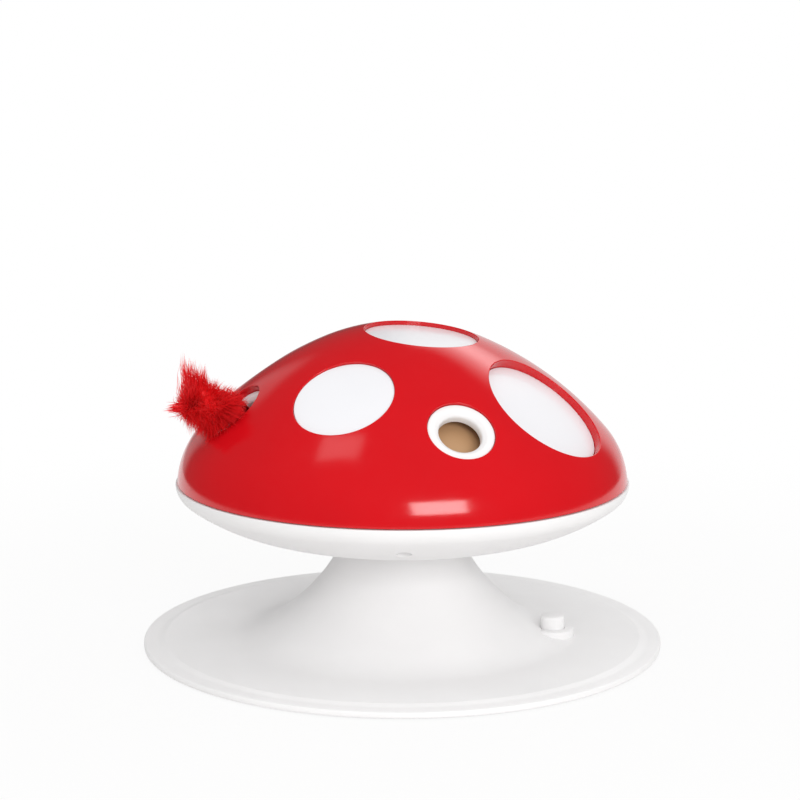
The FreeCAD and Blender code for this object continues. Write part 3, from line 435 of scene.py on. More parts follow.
class Bore:
    """Round feature of a shell about its own axis; heights run out along that axis."""

    TRIES = 24
    SHALLOWEST = 0.3

    def __init__(self, shell, place, turn, count):
        self.shell = shell
        self.place = place
        self.turn = turn
        self.count = count

    def point(self, radius, height, step):
        """Point about the axis."""
        return self.place + self.turn @ swung(radius, 2 * math.pi * step / self.count, height)

    def on_skin(self, radius, step, lift=0.0):
        """Height at which a line beside the axis meets the shell, and the shell's direction there."""
        axis = self.turn @ Vector((0.0, 0.0, 1.0))
        height = 0.0
        for _ in range(self.TRIES):
            way, azimuth, above = self.shell.locate(self.point(radius, height, step))
            out = self.shell.normal(way, azimuth)
            height -= (above - lift) / max(out.dot(axis), self.SHALLOWEST)
        return height, out

    def levels(self, moulding, *outline):
        """Flat rings of (radius, height) about the axis."""
        return moulding.rings(outline, self.count, self.place, self.turn)

    def skin_ring(self, moulding, radius, lift=0.0):
        """Ring where a cylinder about the axis meets the shell."""
        places = []
        outs = []
        for step in range(self.count):
            height, out = self.on_skin(radius, step, lift)
            places.append(self.point(radius, height, step))
            outs.append(out if lift == 0.0 else -out)
        return moulding.loop(places, outs)

    def lip(self, moulding, radius, ease):
        """Rounded edge from the skin into the bore; the first ring lies on the skin."""
        rings = [self.skin_ring(moulding, radius + ease)]
        corners = [self.on_skin(radius, step)[0] for step in range(self.count)]
        starts = [self.on_skin(radius + ease, step)[0] for step in range(self.count)]
        for part in range(1, EASE_STEPS + 1):
            share = part / EASE_STEPS
            places = []
            for step in range(self.count):
                height = (starts[step] * (1 - share) ** 2 + corners[step] * 2 * share * (1 - share)
                          + (corners[step] - ease) * share ** 2)
                places.append(self.point(radius + ease * (1 - share) ** 2, height, step))
            rings.append(moulding.loop(places))
        moulding.bands(rings)
        return rings[0], rings[-1]

    def covers(self, point, radius):
        """Whether a point of the skin lies within a radius of the axis."""
        offset = self.turn.transposed() @ (point - self.place)
        return math.hypot(offset.x, offset.y) < radius and abs(offset.z) < 2 * radius


class Moulding:
    """Points, faces and true surface directions of one piece while it is built."""

    ON_AXIS = 1e-7
    ROW = 0.866
    EDGE_GAP = 0.4
    POINT_GAP = 0.6

    def __init__(self):
        self.points = []
        self.normals = {}
        self.faces = []

    def loop(self, places, outs=()):
        """Adds a ring of points and returns their numbers."""
        first = len(self.points)
        self.points += places
        ring = list(range(first, len(self.points)))
        self.normals.update(zip(ring, outs))
        return ring

    def lay(self, shell, way, count, lift=0.0):
        """Even ring on a shell or on its inner skin."""
        return self.loop(*shell.ring(way, count, lift))

    def rings(self, outline, count, place=Vector(), turn=Matrix.Identity(3)):
        """Rings of (radius, height) about a local axis; a point on the axis stays single."""
        return [self.loop([place + turn @ swung(radius, angle, height)
                           for angle in turns(count if radius > self.ON_AXIS else 1)])
                for radius, height in outline]

    def band(self, low, high):
        """Quads, or triangles where one side is a single point, between two rings."""
        for step in range(max(len(low), len(high))):
            if len(high) == 1:
                self.faces.append((low[step - 1], low[step], high[0]))
            elif len(low) == 1:
                self.faces.append((low[0], high[step], high[step - 1]))
            else:
                self.faces.append((low[step - 1], low[step], high[step], high[step - 1]))

    def bands(self, rings):
        """Bands from each ring to the next."""
        for low, high in zip(rings, rings[1:]):
            self.band(low, high)

    def close(self, ring):
        """Fan over a ring from its middle."""
        middle = sum((self.points[number] for number in ring), Vector()) / len(ring)
        self.band(ring, self.loop([middle]))

    def fill(self, numbers, flat, borders):
        """Triangles between borders laid out flat; the first border is the outer one."""
        border_of = {}
        edges = []
        for number, border in enumerate(borders):
            border_of.update((at, number) for at in border)
            edges += list(zip(border, border[1:] + border[:1]))
        result = geometry.delaunay_2d_cdt(flat, edges, [], 0, TINY)
        sources = [source[0] for source in result[3]]
        for face in result[2]:
            corners = [sources[corner] for corner in face]
            held = {border_of.get(corner) for corner in corners}
            if len(held) == 1 and held.pop():
                continue
            self.faces.append([numbers[corner] for corner in corners])

    def skin(self, shell, rings, spacing, lift=0.0, keep_out=()):
        """Covers a shell between rings that lie on it; the first ring is the outer one."""
        numbers = []
        flat = []
        borders = []
        for ring in rings:
            borders.append(list(range(len(flat), len(flat) + len(ring))))
            for number in ring:
                way, azimuth, _ = shell.locate(self.points[number])
                flat.append(way * heading(azimuth))
            numbers += ring
        ways = [spot.length for spot in flat]
        outer = max(ways) - spacing * self.EDGE_GAP
        inner = (min(ways) if shell.start > 0.0 else -spacing) + spacing * self.EDGE_GAP
        near = kdtree.KDTree(len(flat))
        for number, spot in enumerate(flat):
            near.insert((spot.x, spot.y, 0.0), number)
        near.balance()
        rows = math.ceil(max(ways) / (spacing * self.ROW))
        for row in range(-rows, rows + 1):
            for column in range(-rows, rows + 1):
                spot = Vector((spacing * (column + 0.5 * (row % 2)), spacing * self.ROW * row))
                if not inner < spot.length < outer:
                    continue
                if near.find((spot.x, spot.y, 0.0))[2] < spacing * self.POINT_GAP:
                    continue
                azimuth = math.atan2(spot.y, spot.x)
                point = shell.point(spot.length, azimuth, lift)
                if any(bore.covers(point, radius) for bore, radius in keep_out):
                    continue
                out = shell.normal(spot.length, azimuth)
                numbers += self.loop([point], [out if lift == 0.0 else -out])
                flat.append(spot)
        self.fill(numbers, flat, borders)

    def turned(self, outline, count, place=Vector(), turn=Matrix.Identity(3)):
        """Closed outline of (radius, height) turned about a local axis."""
        rings = self.rings(outline, count, place, turn)
        for low, high in zip(rings, rings[1:] + rings[:1]):
            if len(low) + len(high) > 2:
                self.band(low, high)

    def make(self, name, material):
        """Object with smooth faces, sharp creases and the true directions of its skins."""
        mesh = bpy.data.meshes.new(name)
        mesh.from_pydata(self.points, [], self.faces)
        work = bmesh.new()
        work.from_mesh(mesh)
        bmesh.ops.recalc_face_normals(work, faces=work.faces)
        work.to_mesh(mesh)
        work.free()
        mesh.shade_smooth()
        mesh.set_sharp_from_angle(angle=SHARP)
        corners = [Vector(corner.vector) for corner in mesh.corner_normals]
        for number, corner in enumerate(mesh.loops):
            out = self.normals.get(corner.vertex_index)
            if out is not None and out.dot(corners[number]) > TRUE_WITHIN:
                corners[number] = out
        mesh.normals_split_custom_set(corners)
        mesh.materials.append(material)
        piece = bpy.data.objects.new(name, mesh)
        bpy.context.scene.collection.objects.link(piece)
        return piece


class Holes:
    """Openings of a double-skinned moulding: their rings in both skins and the ground they take."""

    def __init__(self, moulding, wall, lip):
        self.moulding = moulding
        self.wall = wall
        self.lip = lip
        self.outer = []
        self.inner = []
        self.keep_out = []
        self.keep_in = []

    def cut(self, bore, hole, cup=0.0):
        """Opens both skins; returns the hole's edge and the top of the cup round it."""
        rim, edge = bore.lip(self.moulding, hole, self.lip)
        top = bore.skin_ring(self.moulding, hole + cup, -self.wall)
        self.outer.append(rim)
        self.inner.append(top)
        self.keep_out.append((bore, hole + self.lip))
        self.keep_in.append((bore, hole + max(cup, self.lip)))
        return edge, top

    def blind(self, bore, hole, floor, cup, bottom):
        """Flat-floored recess with a closed cup behind it."""
        edge, top = self.cut(bore, hole, cup)
        for start, radius, height in ((edge, hole, floor), (top, hole + cup, floor - bottom)):
            foot = bore.levels(self.moulding, (radius, height))[0]
            self.moulding.band(start, foot)
            self.moulding.close(foot)

    def cover(self, shell, sizes, outer, inner):
        """Lays both skins between their own borders and the openings."""
        self.moulding.skin(shell, outer + self.outer, sizes.spacing, keep_out=self.keep_out)
        self.moulding.skin(shell, inner + self.inner, sizes.inner_spacing, -self.wall, self.keep_in)


def eased(outline):
    """Closed outline whose corners that have a third number are rounded by that much."""
    points = []
    for before, corner, after in zip(outline[-1:] + outline[:-1], outline, outline[1:] + outline[:1]):
        here = Vector(corner[:2])
        ease = corner[2] if len(corner) > 2 else 0.0
        if ease:
            into = (Vector(before[:2]) - here).normalized() * ease
            out = (Vector(after[:2]) - here).normalized() * ease
            shares = [step / EASE_STEPS for step in range(EASE_STEPS + 1)]
            points += [here + into * (1 - share) ** 2 + out * share ** 2 for share in shares]
        else:
            points.append(here)
    return points


def place_piece(piece, body, slot, *nodes):
    """Seats a finished piece on its body in place of its nodes."""
    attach(piece, body)
    if nodes:
        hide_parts(*nodes)


# Curves of the three big mouldings; the base's flare runs out into an almost flat plate
flare = trimmed(chained((NECK_RADIUS, FLARE_TOP), 180.0, FLARE_ARCS, FLARE_LAST_SWEEP, 1, PLATE_TOP),
                NECK_TOP)
flare_foot = flare[-1][0] + flare[-1][1] * heading(flare[-1][3])
plate_sweep = (PLATE_EDGE - flare_foot.x) / PLATE_BEND
plate_arc = (flare_foot + Vector((0.0, PLATE_BEND)), PLATE_BEND, 1.5 * math.pi, 1.5 * math.pi + plate_sweep)
base_shell = Shell(flare + [plate_arc], -1)
bowl_shell = Shell(reversed_chain(trimmed(
    chained((BOWL_RADIUS, SEAM), 0.0, BOWL_ARCS, BOWL_LAST_SWEEP, 1, NECK_TOP), SEAM - BOWL_RIM_EDGE)), 1)
cap_shell = Shell(reversed_chain(trimmed(
    chained((CAP_RADIUS, CAP_EQUATOR), 0.0, CAP_ARCS, CAP_LAST_SWEEP, 0, 0.0), CAP_BOTTOM + CAP_EDGE)), 1)


def cap_at(polar):
    """Radius and height of the cap's surface where its normal leans by polar degrees."""
    angle = math.radians(90.0 - polar)
    for centre, bend, first, last, *_ in cap_shell.arcs:
        if last <= angle <= first:
            return centre.x + bend * math.cos(angle), centre.y + bend * math.sin(angle)
    raise ValueError("no arc of the cap leans by %g degrees" % polar)


def on_cap(azimuth, polar, count):
    """Bore about the cap's normal at an azimuth and a polar angle."""
    radius, height = cap_at(polar)
    turn = Matrix.Rotation(math.radians(azimuth), 3, "Z") @ Matrix.Rotation(math.radians(polar), 3, "Y")
    return Bore(cap_shell, on_ring(radius, azimuth, height), turn, count)


def edge_drop(polar, radius):
    """How far the cap falls away from its tangent plane at a circle of this radius."""
    bend = cap_at(polar)[0] / math.sin(math.radians(polar))
    return bend - math.sqrt(bend * bend - radius * radius)


def port_face(recess):
    """Depth of a port ring's face below the cap's surface at the port's middle."""
    return recess + edge_drop(PORT_POLAR, PORT_FLANGE)


TAIL_PORT = on_cap(PORTS["left"][0], PORT_POLAR, PORT_POINTS)


def add(tree, kind, inputs=None, **settings):
    """Adds a shader node with its settings; an input is a value, a node's first output or a socket."""
    node = tree.nodes.new("ShaderNode" + kind)
    for name, value in settings.items():
        setattr(node, name, value)
    for name, value in (inputs or {}).items():
        if isinstance(value, bpy.types.Node):
            value = value.outputs[0]
        if isinstance(value, bpy.types.NodeSocket):
            tree.links.new(value, node.inputs[name])
        else:
            node.inputs[name].default_value = value
    return node


def emptied(owner):
    """Node tree of a material or a world, without its nodes."""
    owner.use_nodes = True
    owner.node_tree.nodes.clear()
    return owner.node_tree


def blank(name):
    """Material with a bare Principled shader; returns it, its tree, the shader and local places."""
    material = bpy.data.materials.new(name)
    tree = emptied(material)
    shader = add(tree, "BsdfPrincipled")
    add(tree, "OutputMaterial", {"Surface": shader})
    return material, tree, shader, add(tree, "TexCoord").outputs["Object"]


def feed(tree, shader, relief, depth, strength=1.0, **inputs):
    """Gives a shader the bump of a relief of some depth, and sets or links its other inputs."""
    if relief:
        inputs["Normal"] = add(tree, "Bump", {"Height": relief, "Strength": strength, "Distance": depth})
    for name, value in inputs.items():
        socket = shader.inputs[name.replace("_", " ")]
        if isinstance(value, (int, float, list, tuple)):
            socket.default_value = value
        else:
            tree.links.new(value.outputs[0] if isinstance(value, bpy.types.Node) else value, socket)


# Moulded plastics and rubbers: name, colour, roughness, IOR, grain of the tool's skin in mm, its
# depth in mm, and how far the shade drifts along the flow
MOULDED = {
    # high-gloss ABS from a polished tool: a deep even red with crisp, faintly wavy highlights
    "red_abs": ("gloss_red_abs", "#D10E18", 0.13, 1.54, 3.2, 0.0012, 0.02),
    # ABS from a finely blasted tool: a clean white with a soft, broad satin sheen
    "white_abs": ("satin_white_abs", "#F2F1F1", 0.48, 1.54, 2.4, 0.002, 0.012),
    # flat moulded disc: smoother than the shells, so it mirrors the room evenly
    "disc_white": ("disc_white_abs", "#F1F1F4", 0.22, 1.54, 4.0, 0.001, 0.008),
    # satin ABS from a lightly textured tool: an even tan without sharp highlights
    "tan_abs": ("satin_tan_abs", "#CDA176", 0.5, 1.54, 0.7, 0.012, 0.03),
    # spark-textured ABS of inner frames: matt grey with a fine sandy grain
    "grey_abs": ("textured_grey_abs", "#5A5B5E", 0.58, 1.54, 0.5, 0.02, 0.05),
    # moulded acetal: waxy, slightly yellow white with a blurred sheen
    "white_acetal": ("moulded_acetal", "#E6E3D8", 0.38, 1.48, 0.9, 0.006, 0.03),
    # moulded epoxy of chips and switches: matt black with a fine etched grain
    "component": ("moulded_epoxy", "#1B1B1D", 0.6, 1.55, 0.25, 0.012, 0.1),
    # extruded PVC sleeve: soft red with a faint drag along the wire
    "lead_sleeve": ("extruded_pvc_sleeve", "#B3232B", 0.42, 1.53, 1.1, 0.01, 0.06),
    # moulded silicone rod: dull red rubber that takes a little dust
    "silicone": ("moulded_silicone", "#B8322F", 0.62, 1.43, 0.8, 0.015, 0.08),
}
# Worked metals: name, colour, roughness, spacing and depth of the lines in mm, and how much each
# axis is shortened, so that the lines run along it
METALS = {
    # drawn and ground steel of shafts, can and screws: grey with fine lines along its length
    "steel": ("ground_steel", "#B9BBBE", 0.4, 0.4, 0.004, (1.0, 1.0, 0.08)),
    # nickel-plated spring strip: bright pale metal with rolling lines
    "contact": ("nickel_strip", "#CFCBBE", 0.2, 0.3, 0.003, (0.1, 1.0, 1.0)),
}
# Sizes of the drift of shade and of the rubbed patches, how far these change the roughness, and
# the part of a noise's range that is used
FLOW_SIZE = 32 * MM
RUB_SIZE = 6 * MM
RUB_SHARE = 0.12
NOISE_RANGE = {"From Min": 0.3, "From Max": 0.7}
# Lines of a worked metal: their change of roughness and of shade, and the strength of their bump
LINE_GLOSS = (0.75, 1.25)
LINE_SHADE = (0.9, 1.08)
LINE_BUMP = 0.6


def moulded(name, colour, roughness, ior, grain, depth, drift):
    """Moulding with a slow drift of shade, rubbed patches of gloss and the tool's fine skin."""
    material, tree, shader, place = blank(name)
    patches = []
    for size, detail, middle, swing in ((FLOW_SIZE, 2.0, 1.0, drift),
                                        (RUB_SIZE, 4.0, roughness, roughness * RUB_SHARE)):
        noise = add(tree, "TexNoise", {"Vector": place, "Scale": 1 / size, "Detail": detail})
        patches.append(add(tree, "MapRange", {"Value": noise, **NOISE_RANGE, "To Min": middle - swing,
                                              "To Max": middle + swing}))
    shade, gloss = patches
    tone = add(tree, "VectorMath", {"Vector": colour, "Scale": shade}, operation="SCALE")
    peel = add(tree, "TexNoise", {"Vector": place, "Scale": 1 / (grain * MM), "Detail": 3.0})
    feed(tree, shader, peel, depth * MM, Base_Color=tone, Roughness=gloss, IOR=ior)
    return material


def worked_metal(name, code, roughness, line, depth, along):
    """Metal with lines from its making, stretched along one axis."""
    material, tree, shader, place = blank(name)
    stretch = add(tree, "VectorMath", {0: place, 1: along}, operation="MULTIPLY")
    lines = add(tree, "TexNoise", {"Vector": stretch, "Scale": 1 / (line * MM), "Detail": 4.0})
    gloss, shade = [add(tree, "MapRange", {"Value": lines, "To Min": middle * low, "To Max": middle * high})
                    for middle, (low, high) in ((roughness, LINE_GLOSS), (1.0, LINE_SHADE))]
    tone = add(tree, "VectorMath", {"Vector": linear(code), "Scale": shade}, operation="SCALE")
    feed(tree, shader, lines, depth * MM, LINE_BUMP, Base_Color=tone, Metallic=1.0, Roughness=gloss)
    return material


def foot_rubber():
    """Moulded rubber: near black, matt, with a dusty open grain."""
    material, tree, shader, place = blank("moulded_foot_rubber")
    grain = add(tree, "TexNoise", {"Vector": place, "Scale": 1 / (0.6 * MM), "Detail": 6.0})
    dust = add(tree, "Mix", {"Factor": grain, COLOUR_A: opaque("#17171A"), COLOUR_B: opaque("#2E2E31")},
               data_type="RGBA").outputs[COLOUR_OUT]
    feed(tree, shader, grain, 0.05 * MM, 0.5, Base_Color=dust, Roughness=0.85, IOR=1.52)
    return material


def sintered_bronze():
    """Sintered bronze: warm brown metal with open pores that catch no highlight, darkened in colour as
    painted shade.
    """
    material, tree, shader, place = blank("sintered_bronze")
    pores = add(tree, "TexVoronoi", {"Vector": place, "Scale": 1 / (0.35 * MM)})
    # darker colour in the pores: painted shade
    shade = add(tree, "MapRange", {"Value": pores, "From Max": 0.6, "To Min": 0.55, "To Max": 1.05})
    tone = add(tree, "VectorMath", {"Vector": linear("#B98A55"), "Scale": shade}, operation="SCALE")
    feed(tree, shader, pores, 0.03 * MM, 0.6, Base_Color=tone, Metallic=1.0, Roughness=0.5)
    return material


def cell_sleeve():
    """Shrunk film on the cells: gloss dark grey with a paler band and small wrinkles."""
    material, tree, shader, place = blank("shrunk_cell_film")
    height = add(tree, "SeparateXYZ", {"Vector": place}).outputs["Z"]
    band = add(tree, "MapRange", {"Value": height, "From Min": 44 * MM, "From Max": 45 * MM})
    tone = add(tree, "Mix", {"Factor": band, COLOUR_A: opaque("#2B2F36"), COLOUR_B: opaque("#C9A35A")},
               data_type="RGBA").outputs[COLOUR_OUT]
    wrinkle = add(tree, "TexNoise", {"Vector": place, "Scale": 1 / (3 * MM), "Detail": 5.0})
    feed(tree, shader, wrinkle, 0.03 * MM, 0.4, Base_Color=tone, Roughness=0.2, IOR=1.5, Coat_Weight=0.4)
    return material


def solder_mask():
    """Green solder mask over glass cloth: semi-gloss with a faint square weave."""
    material, tree, shader, place = blank("green_solder_mask")
    across, down = [add(tree, "TexWave", {"Vector": place, "Scale": 1 / (1.4 * MM), "Distortion": 0.3},
                        bands_direction=way) for way in "XY"]
    weave = add(tree, "Math", {0: across, 1: down}, operation="MULTIPLY")
    tone = add(tree, "Mix", {"Factor": weave, COLOUR_A: opaque("#1F5A34"), COLOUR_B: opaque("#2B7044")},
               data_type="RGBA").outputs[COLOUR_OUT]
    feed(tree, shader, weave, 0.01 * MM, 0.3, Base_Color=tone, Roughness=0.28, IOR=1.5)
    return material


def dyed_fur(root, tip):
    """Dyed fur: every hair its own shade at random, with painted shade deep in the fluff and a painted glow
    at the thin tips.
    """
    material, tree, shader, place = blank("dyed_fur")
    # darker towards the fluff's middle as painted shade, lighter towards the tips as a painted glow
    depth = add(tree, "VectorMath", {0: place, 1: FLUFF_CENTRE}, operation="DISTANCE").outputs["Value"]
    share = add(tree, "MapRange", {"Value": depth, "From Min": FLUFF_REACH * 0.3, "From Max": FLUFF_REACH})
    base = add(tree, "Mix", {"Factor": share, COLOUR_A: root + [1.0], COLOUR_B: tip + [1.0]},
               data_type="RGBA").outputs[COLOUR_OUT]
    own = add(tree, "NewGeometry").outputs["Random Per Island"]
    shade = add(tree, "MapRange", {"Value": own, "To Min": 0.82, "To Max": 1.0})
    tone = add(tree, "VectorMath", {"Vector": base, "Scale": shade}, operation="SCALE")
    feed(tree, shader, None, 0.0, Base_Color=tone, Roughness=0.55, IOR=1.45, Sheen_Weight=0.12,
         Sheen_Roughness=0.4, Sheen_Tint=opaque("#FF8A80"))
    return material


MAKERS = {"rubber": foot_rubber, "bronze": sintered_bronze, "cell_sleeve": cell_sleeve, "board": solder_mask}
FINISHES = {}


def finish(slot):
    """The material of one of the record's slots, made on first use."""
    paint = bpy.context.scene.teaser_finish
    if slot not in FINISHES:
        if slot in MOULDED:
            name, code, *numbers = MOULDED[slot]
            colour = list(getattr(paint, slot)) if hasattr(paint, slot) else linear(code)
            FINISHES[slot] = moulded(name, colour, *numbers)
        elif slot in METALS:
            FINISHES[slot] = worked_metal(*METALS[slot])
        elif slot == "fur":
            FINISHES[slot] = dyed_fur(list(paint.fur_root), list(paint.fur_tip))
        else:
            FINISHES[slot] = MAKERS[slot]()
    return FINISHES[slot]


LENGTH = {"subtype": "DISTANCE", "unit": "LENGTH"}
POWER = {"subtype": "POWER", "unit": "POWER"}
COLOUR = {"subtype": "COLOR", "min": 0, "max": 1}


class TeaserSkin(bpy.types.PropertyGroup):
    """Sizes of the moulded skins."""

    spacing: FloatProperty(
        name="Outer spacing", description="Distance between the points of an outer skin",
        default=2.3 * MM, min=0.5 * MM, **LENGTH)
    inner_spacing: FloatProperty(
        name="Inner spacing", description="Distance between the points of a hidden inner skin",
        default=6.0 * MM, min=1.0 * MM, **LENGTH)
    lip: FloatProperty(
        name="Lip", description="Rounding of the edges of the cap's recesses",
        default=0.5 * MM, min=0.05 * MM, **LENGTH)
    small_lip: FloatProperty(
        name="Small lip", description="Rounding of the edges of screw and button holes",
        default=0.3 * MM, min=0.05 * MM, **LENGTH)


class TeaserFinish(bpy.types.PropertyGroup):
    """Colours of the mouldings, named by their slots, and of the fur."""

    red_abs: FloatVectorProperty(
        name="Cap", description="Colour of the cap", default=linear(MOULDED["red_abs"][1]), **COLOUR)
    white_abs: FloatVectorProperty(
        name="White shells", description="Colour of the bowl, base and rings",
        default=linear(MOULDED["white_abs"][1]), **COLOUR)
    disc_white: FloatVectorProperty(
        name="Discs", description="Colour of the spots", default=linear(MOULDED["disc_white"][1]), **COLOUR)
    tan_abs: FloatVectorProperty(
        name="Rotor", description="Colour of the inner dome", default=linear(MOULDED["tan_abs"][1]),
        **COLOUR)
    # the darker colour deep in the fur is painted shade, and the tips' lighter colour is a painted glow
    fur_root: FloatVectorProperty(
        name="Fur depth", description="Colour deep in the fur", default=linear("#F60C16"), **COLOUR)
    fur_tip: FloatVectorProperty(
        name="Fur tips", description="Colour of the fur's tips", default=linear("#FF1420"), **COLOUR)


class TeaserTail(bpy.types.PropertyGroup):
    """Sizes of the fur tail."""

    locks: IntProperty(name="Locks", description="Number of locks in the fluff", default=380, min=10)
    hairs: IntProperty(name="Hairs", description="Number of hairs in a lock", default=13, min=1)
    hair_radius: FloatProperty(
        name="Hair radius", description="Radius of a hair at its root, coarser than real so that it shows",
        default=0.2 * MM, min=0.01 * MM, **LENGTH)
    width: FloatProperty(
        name="Half width", description="Reach of the fluff sideways from the port's plane",
        default=15.0 * MM, min=1.0 * MM, **LENGTH)
    seed: IntProperty(name="Seed", description="Seed of the hairs' random spread", default=7)


class TeaserStage(bpy.types.PropertyGroup):
    """Sizes and strengths of the floor and the light."""

    floor_radius: FloatProperty(
        name="Floor radius", description="Radius of the round floor", default=0.9, **LENGTH)
    key_power: FloatProperty(
        name="Key power", description="Power of the large lamp in front", default=7.3, **POWER)
    side_power: FloatProperty(
        name="Side power", description="Power of the faint lamp on the left", default=0.4, **POWER)
    ambient: FloatProperty(
        name="Ambient", description="Even light from all round", default=0.62, min=0.0)


class TEASER_OT_cap(bpy.types.Operator):
    """Build the red cap with its ports, its blind recesses and its rim"""

    bl_idname = "teaser.cap"
    bl_label = "Cap"

    def execute(self, context):
        sizes = context.scene.teaser_skin
        cap = Moulding()
        holes = Holes(cap, CAP_WALL, sizes.lip)
        for azimuth, polar, radius, recess in SPOTS.values():
            floor = -recess - edge_drop(polar, radius) - DISC_THICKNESS
            holes.blind(on_cap(azimuth, polar, SPOT_POINTS), radius + DISC_GAP, floor, CUP_WALL, CUP_FLOOR)
        for azimuth, recess in PORTS.values():
            bore = on_cap(azimuth, PORT_POLAR, PORT_POINTS)
            hole = PORT_FLANGE + PORT_GAP
            throat = PORT_TUBE + PORT_GAP
            seat = -port_face(recess) - PORT_FLANGE_THICKNESS
            edge, top = holes.cut(bore, hole, CUP_WALL)
            cap.bands([edge] + bore.levels(cap, (hole, seat), (throat, seat), (throat, seat - PORT_SEAT),
                                           (hole + CUP_WALL, seat - PORT_SEAT)) + [top])
        rim = cap.lay(cap_shell, cap_shell.end, RIM_POINTS)
        lining = cap.lay(cap_shell, cap_shell.end, RIM_POINTS, -CAP_WALL)
        holes.cover(cap_shell, sizes, [rim], [lining])
        edge_radius = cap.points[rim[0]].x
        edge = eased([(edge_radius, CAP_BOTTOM + CAP_EDGE), (edge_radius, CAP_BOTTOM, CAP_EDGE),
                      (cap.points[lining[0]].x, CAP_BOTTOM)])
        # the rounding starts on the rim's own points, so these two are left out
        cap.bands([rim] + cap.rings(edge[2:], RIM_POINTS) + [lining])
        place_piece(cap.make("cap", finish("red_abs")), "housing", "red_abs", "upper_shell")
        return {"FINISHED"}


class TEASER_OT_bowl(bpy.types.Operator):
    """Build the white bowl with its tongue, its rim and its screw sinks"""

    bl_idname = "teaser.bowl"
    bl_label = "Bowl"

    def execute(self, context):
        sizes = context.scene.teaser_skin
        bowl = Moulding()
        holes = Holes(bowl, BOWL_WALL, sizes.small_lip)
        flip = Matrix.Rotation(math.pi, 3, "X")
        ring, azimuths = SHELL_SCREWS
        for azimuth in azimuths:
            bore = Bore(bowl_shell, on_ring(ring, azimuth, SINK_TOP), flip, SMALL_POINTS)
            holes.blind(bore, SINK_RADIUS, 0.0, SINK_WALL, SINK_FLOOR)
        rim = bowl.lay(bowl_shell, bowl_shell.end, RIM_POINTS)
        foot = bowl.lay(bowl_shell, bowl_shell.start, NECK_POINTS)
        ledge = (bowl_shell.arcs[-1][4] + bowl_shell.end) / 2
        lining = bowl.lay(bowl_shell, ledge, RIM_POINTS, -BOWL_WALL)
        floor = bowl.lay(bowl_shell, bowl_shell.start, NECK_POINTS, -BOWL_WALL)
        holes.cover(bowl_shell, sizes, [rim, foot], [lining, floor])
        edge_radius = bowl.points[rim[0]].x
        tongue_bore = TONGUE_RADIUS - TONGUE_THICKNESS
        tongue = eased([
            (edge_radius, SEAM - BOWL_RIM_EDGE), (edge_radius, SEAM, BOWL_RIM_EDGE), (TONGUE_RADIUS, SEAM),
            (TONGUE_RADIUS, TONGUE_TOP, EDGE_EASE), (tongue_bore, TONGUE_TOP, EDGE_EASE),
            (tongue_bore, TONGUE_LEDGE)])
        # as on the cap, two points lie on the rim already
        bowl.bands([rim] + bowl.rings(tongue[2:], RIM_POINTS) + [lining])
        hole = [(BOWL_HOLE, NECK_TOP), (BOWL_HOLE, NECK_TOP + BOWL_WALL)]
        bowl.bands([foot] + bowl.rings(hole, NECK_POINTS) + [floor])
        place_piece(bowl.make("bowl", finish("white_abs")), "housing", "white_abs", "lower_shell")
        return {"FINISHED"}


class TEASER_OT_base(bpy.types.Operator):
    """Build the white trumpet base with its rim and the collar round the button"""

    bl_idname = "teaser.base"
    bl_label = "Base"

    def execute(self, context):
        sizes = context.scene.teaser_skin
        base = Moulding()
        holes = Holes(base, BASE_WALL, sizes.small_lip)
        way = base_shell.locate(Vector((BUTTON_RING, 0.0, PLATE_TOP)))[0]
        place = on_ring(BUTTON_RING, BUTTON_AZIMUTH, base_shell.point(way, 0.0).z)
        base.band(*holes.cut(Bore(base_shell, place, Matrix.Identity(3), SMALL_POINTS), BUTTON_BORE))
        plate = base.lay(base_shell, base_shell.end, RIM_POINTS)
        neck = base.lay(base_shell, base_shell.start, NECK_POINTS)
        cover_way = base_shell.end - (PLATE_EDGE - COVER_BORE)
        lining = base.lay(base_shell, cover_way, RIM_POINTS, -BASE_WALL)
        places = base_shell.ring(base_shell.start, NECK_POINTS, -BASE_WALL)[0]
        throat = base.loop([Vector((place.x, place.y, NECK_TOP)) for place in places])
        holes.cover(base_shell, sizes, [plate, neck], [lining, throat])
        edge = eased([
            (PLATE_EDGE, PLATE_TOP, EDGE_EASE), (PLATE_EDGE + RIM_SLOPE, RIM_TOP, RIM_EASE),
            (BASE_RADIUS, RIM_TOP, RIM_EDGE), (BASE_RADIUS, GROUND_GAP, RIM_EDGE), (COVER_BORE, GROUND_GAP)])
        # the first corner's inner half is the plate itself, so its three points are left out
        base.bands([plate] + base.rings(edge[3:], RIM_POINTS) + [lining])
        base.band(neck, throat)
        collar = eased([
            (COLLAR_BORE, COLLAR_TOP, EDGE_EASE), (COLLAR_BORE, COLLAR_TOP - COLLAR_ROOF),
            (COLLAR_ROOM, COLLAR_TOP - COLLAR_ROOF), (COLLAR_ROOM, COLLAR_FOOT),
            (COLLAR_RADIUS, COLLAR_FOOT), (COLLAR_RADIUS, COLLAR_TOP, ROUND_EASE)])
        base.turned(collar, SMALL_POINTS * 2, on_ring(BUTTON_RING, BUTTON_AZIMUTH))
        place_piece(base.make("base", finish("white_abs")), "housing", "white_abs", "base_pedestal")
        return {"FINISHED"}


class TEASER_OT_discs(bpy.types.Operator):
    """Build the flat white discs that lie in the cap's blind recesses"""

    bl_idname = "teaser.discs"
    bl_label = "Spot discs"

    def execute(self, context):
        for name, (azimuth, polar, radius, recess) in SPOTS.items():
            bore = on_cap(azimuth, polar, SPOT_POINTS)
            face = -recess - edge_drop(polar, radius)
            back = face - DISC_THICKNESS
            outline = eased([(0.0, face), (radius, face, DISC_EASE), (radius, back, TOUCH_EASE), (0.0, back)])
            disc = Moulding()
            disc.turned(outline, SPOT_POINTS, bore.place, bore.turn)
            piece = disc.make("disc_" + name, finish("disc_white"))
            place_piece(piece, "housing", "disc_white", "spot_disc_" + name)
        return {"FINISHED"}


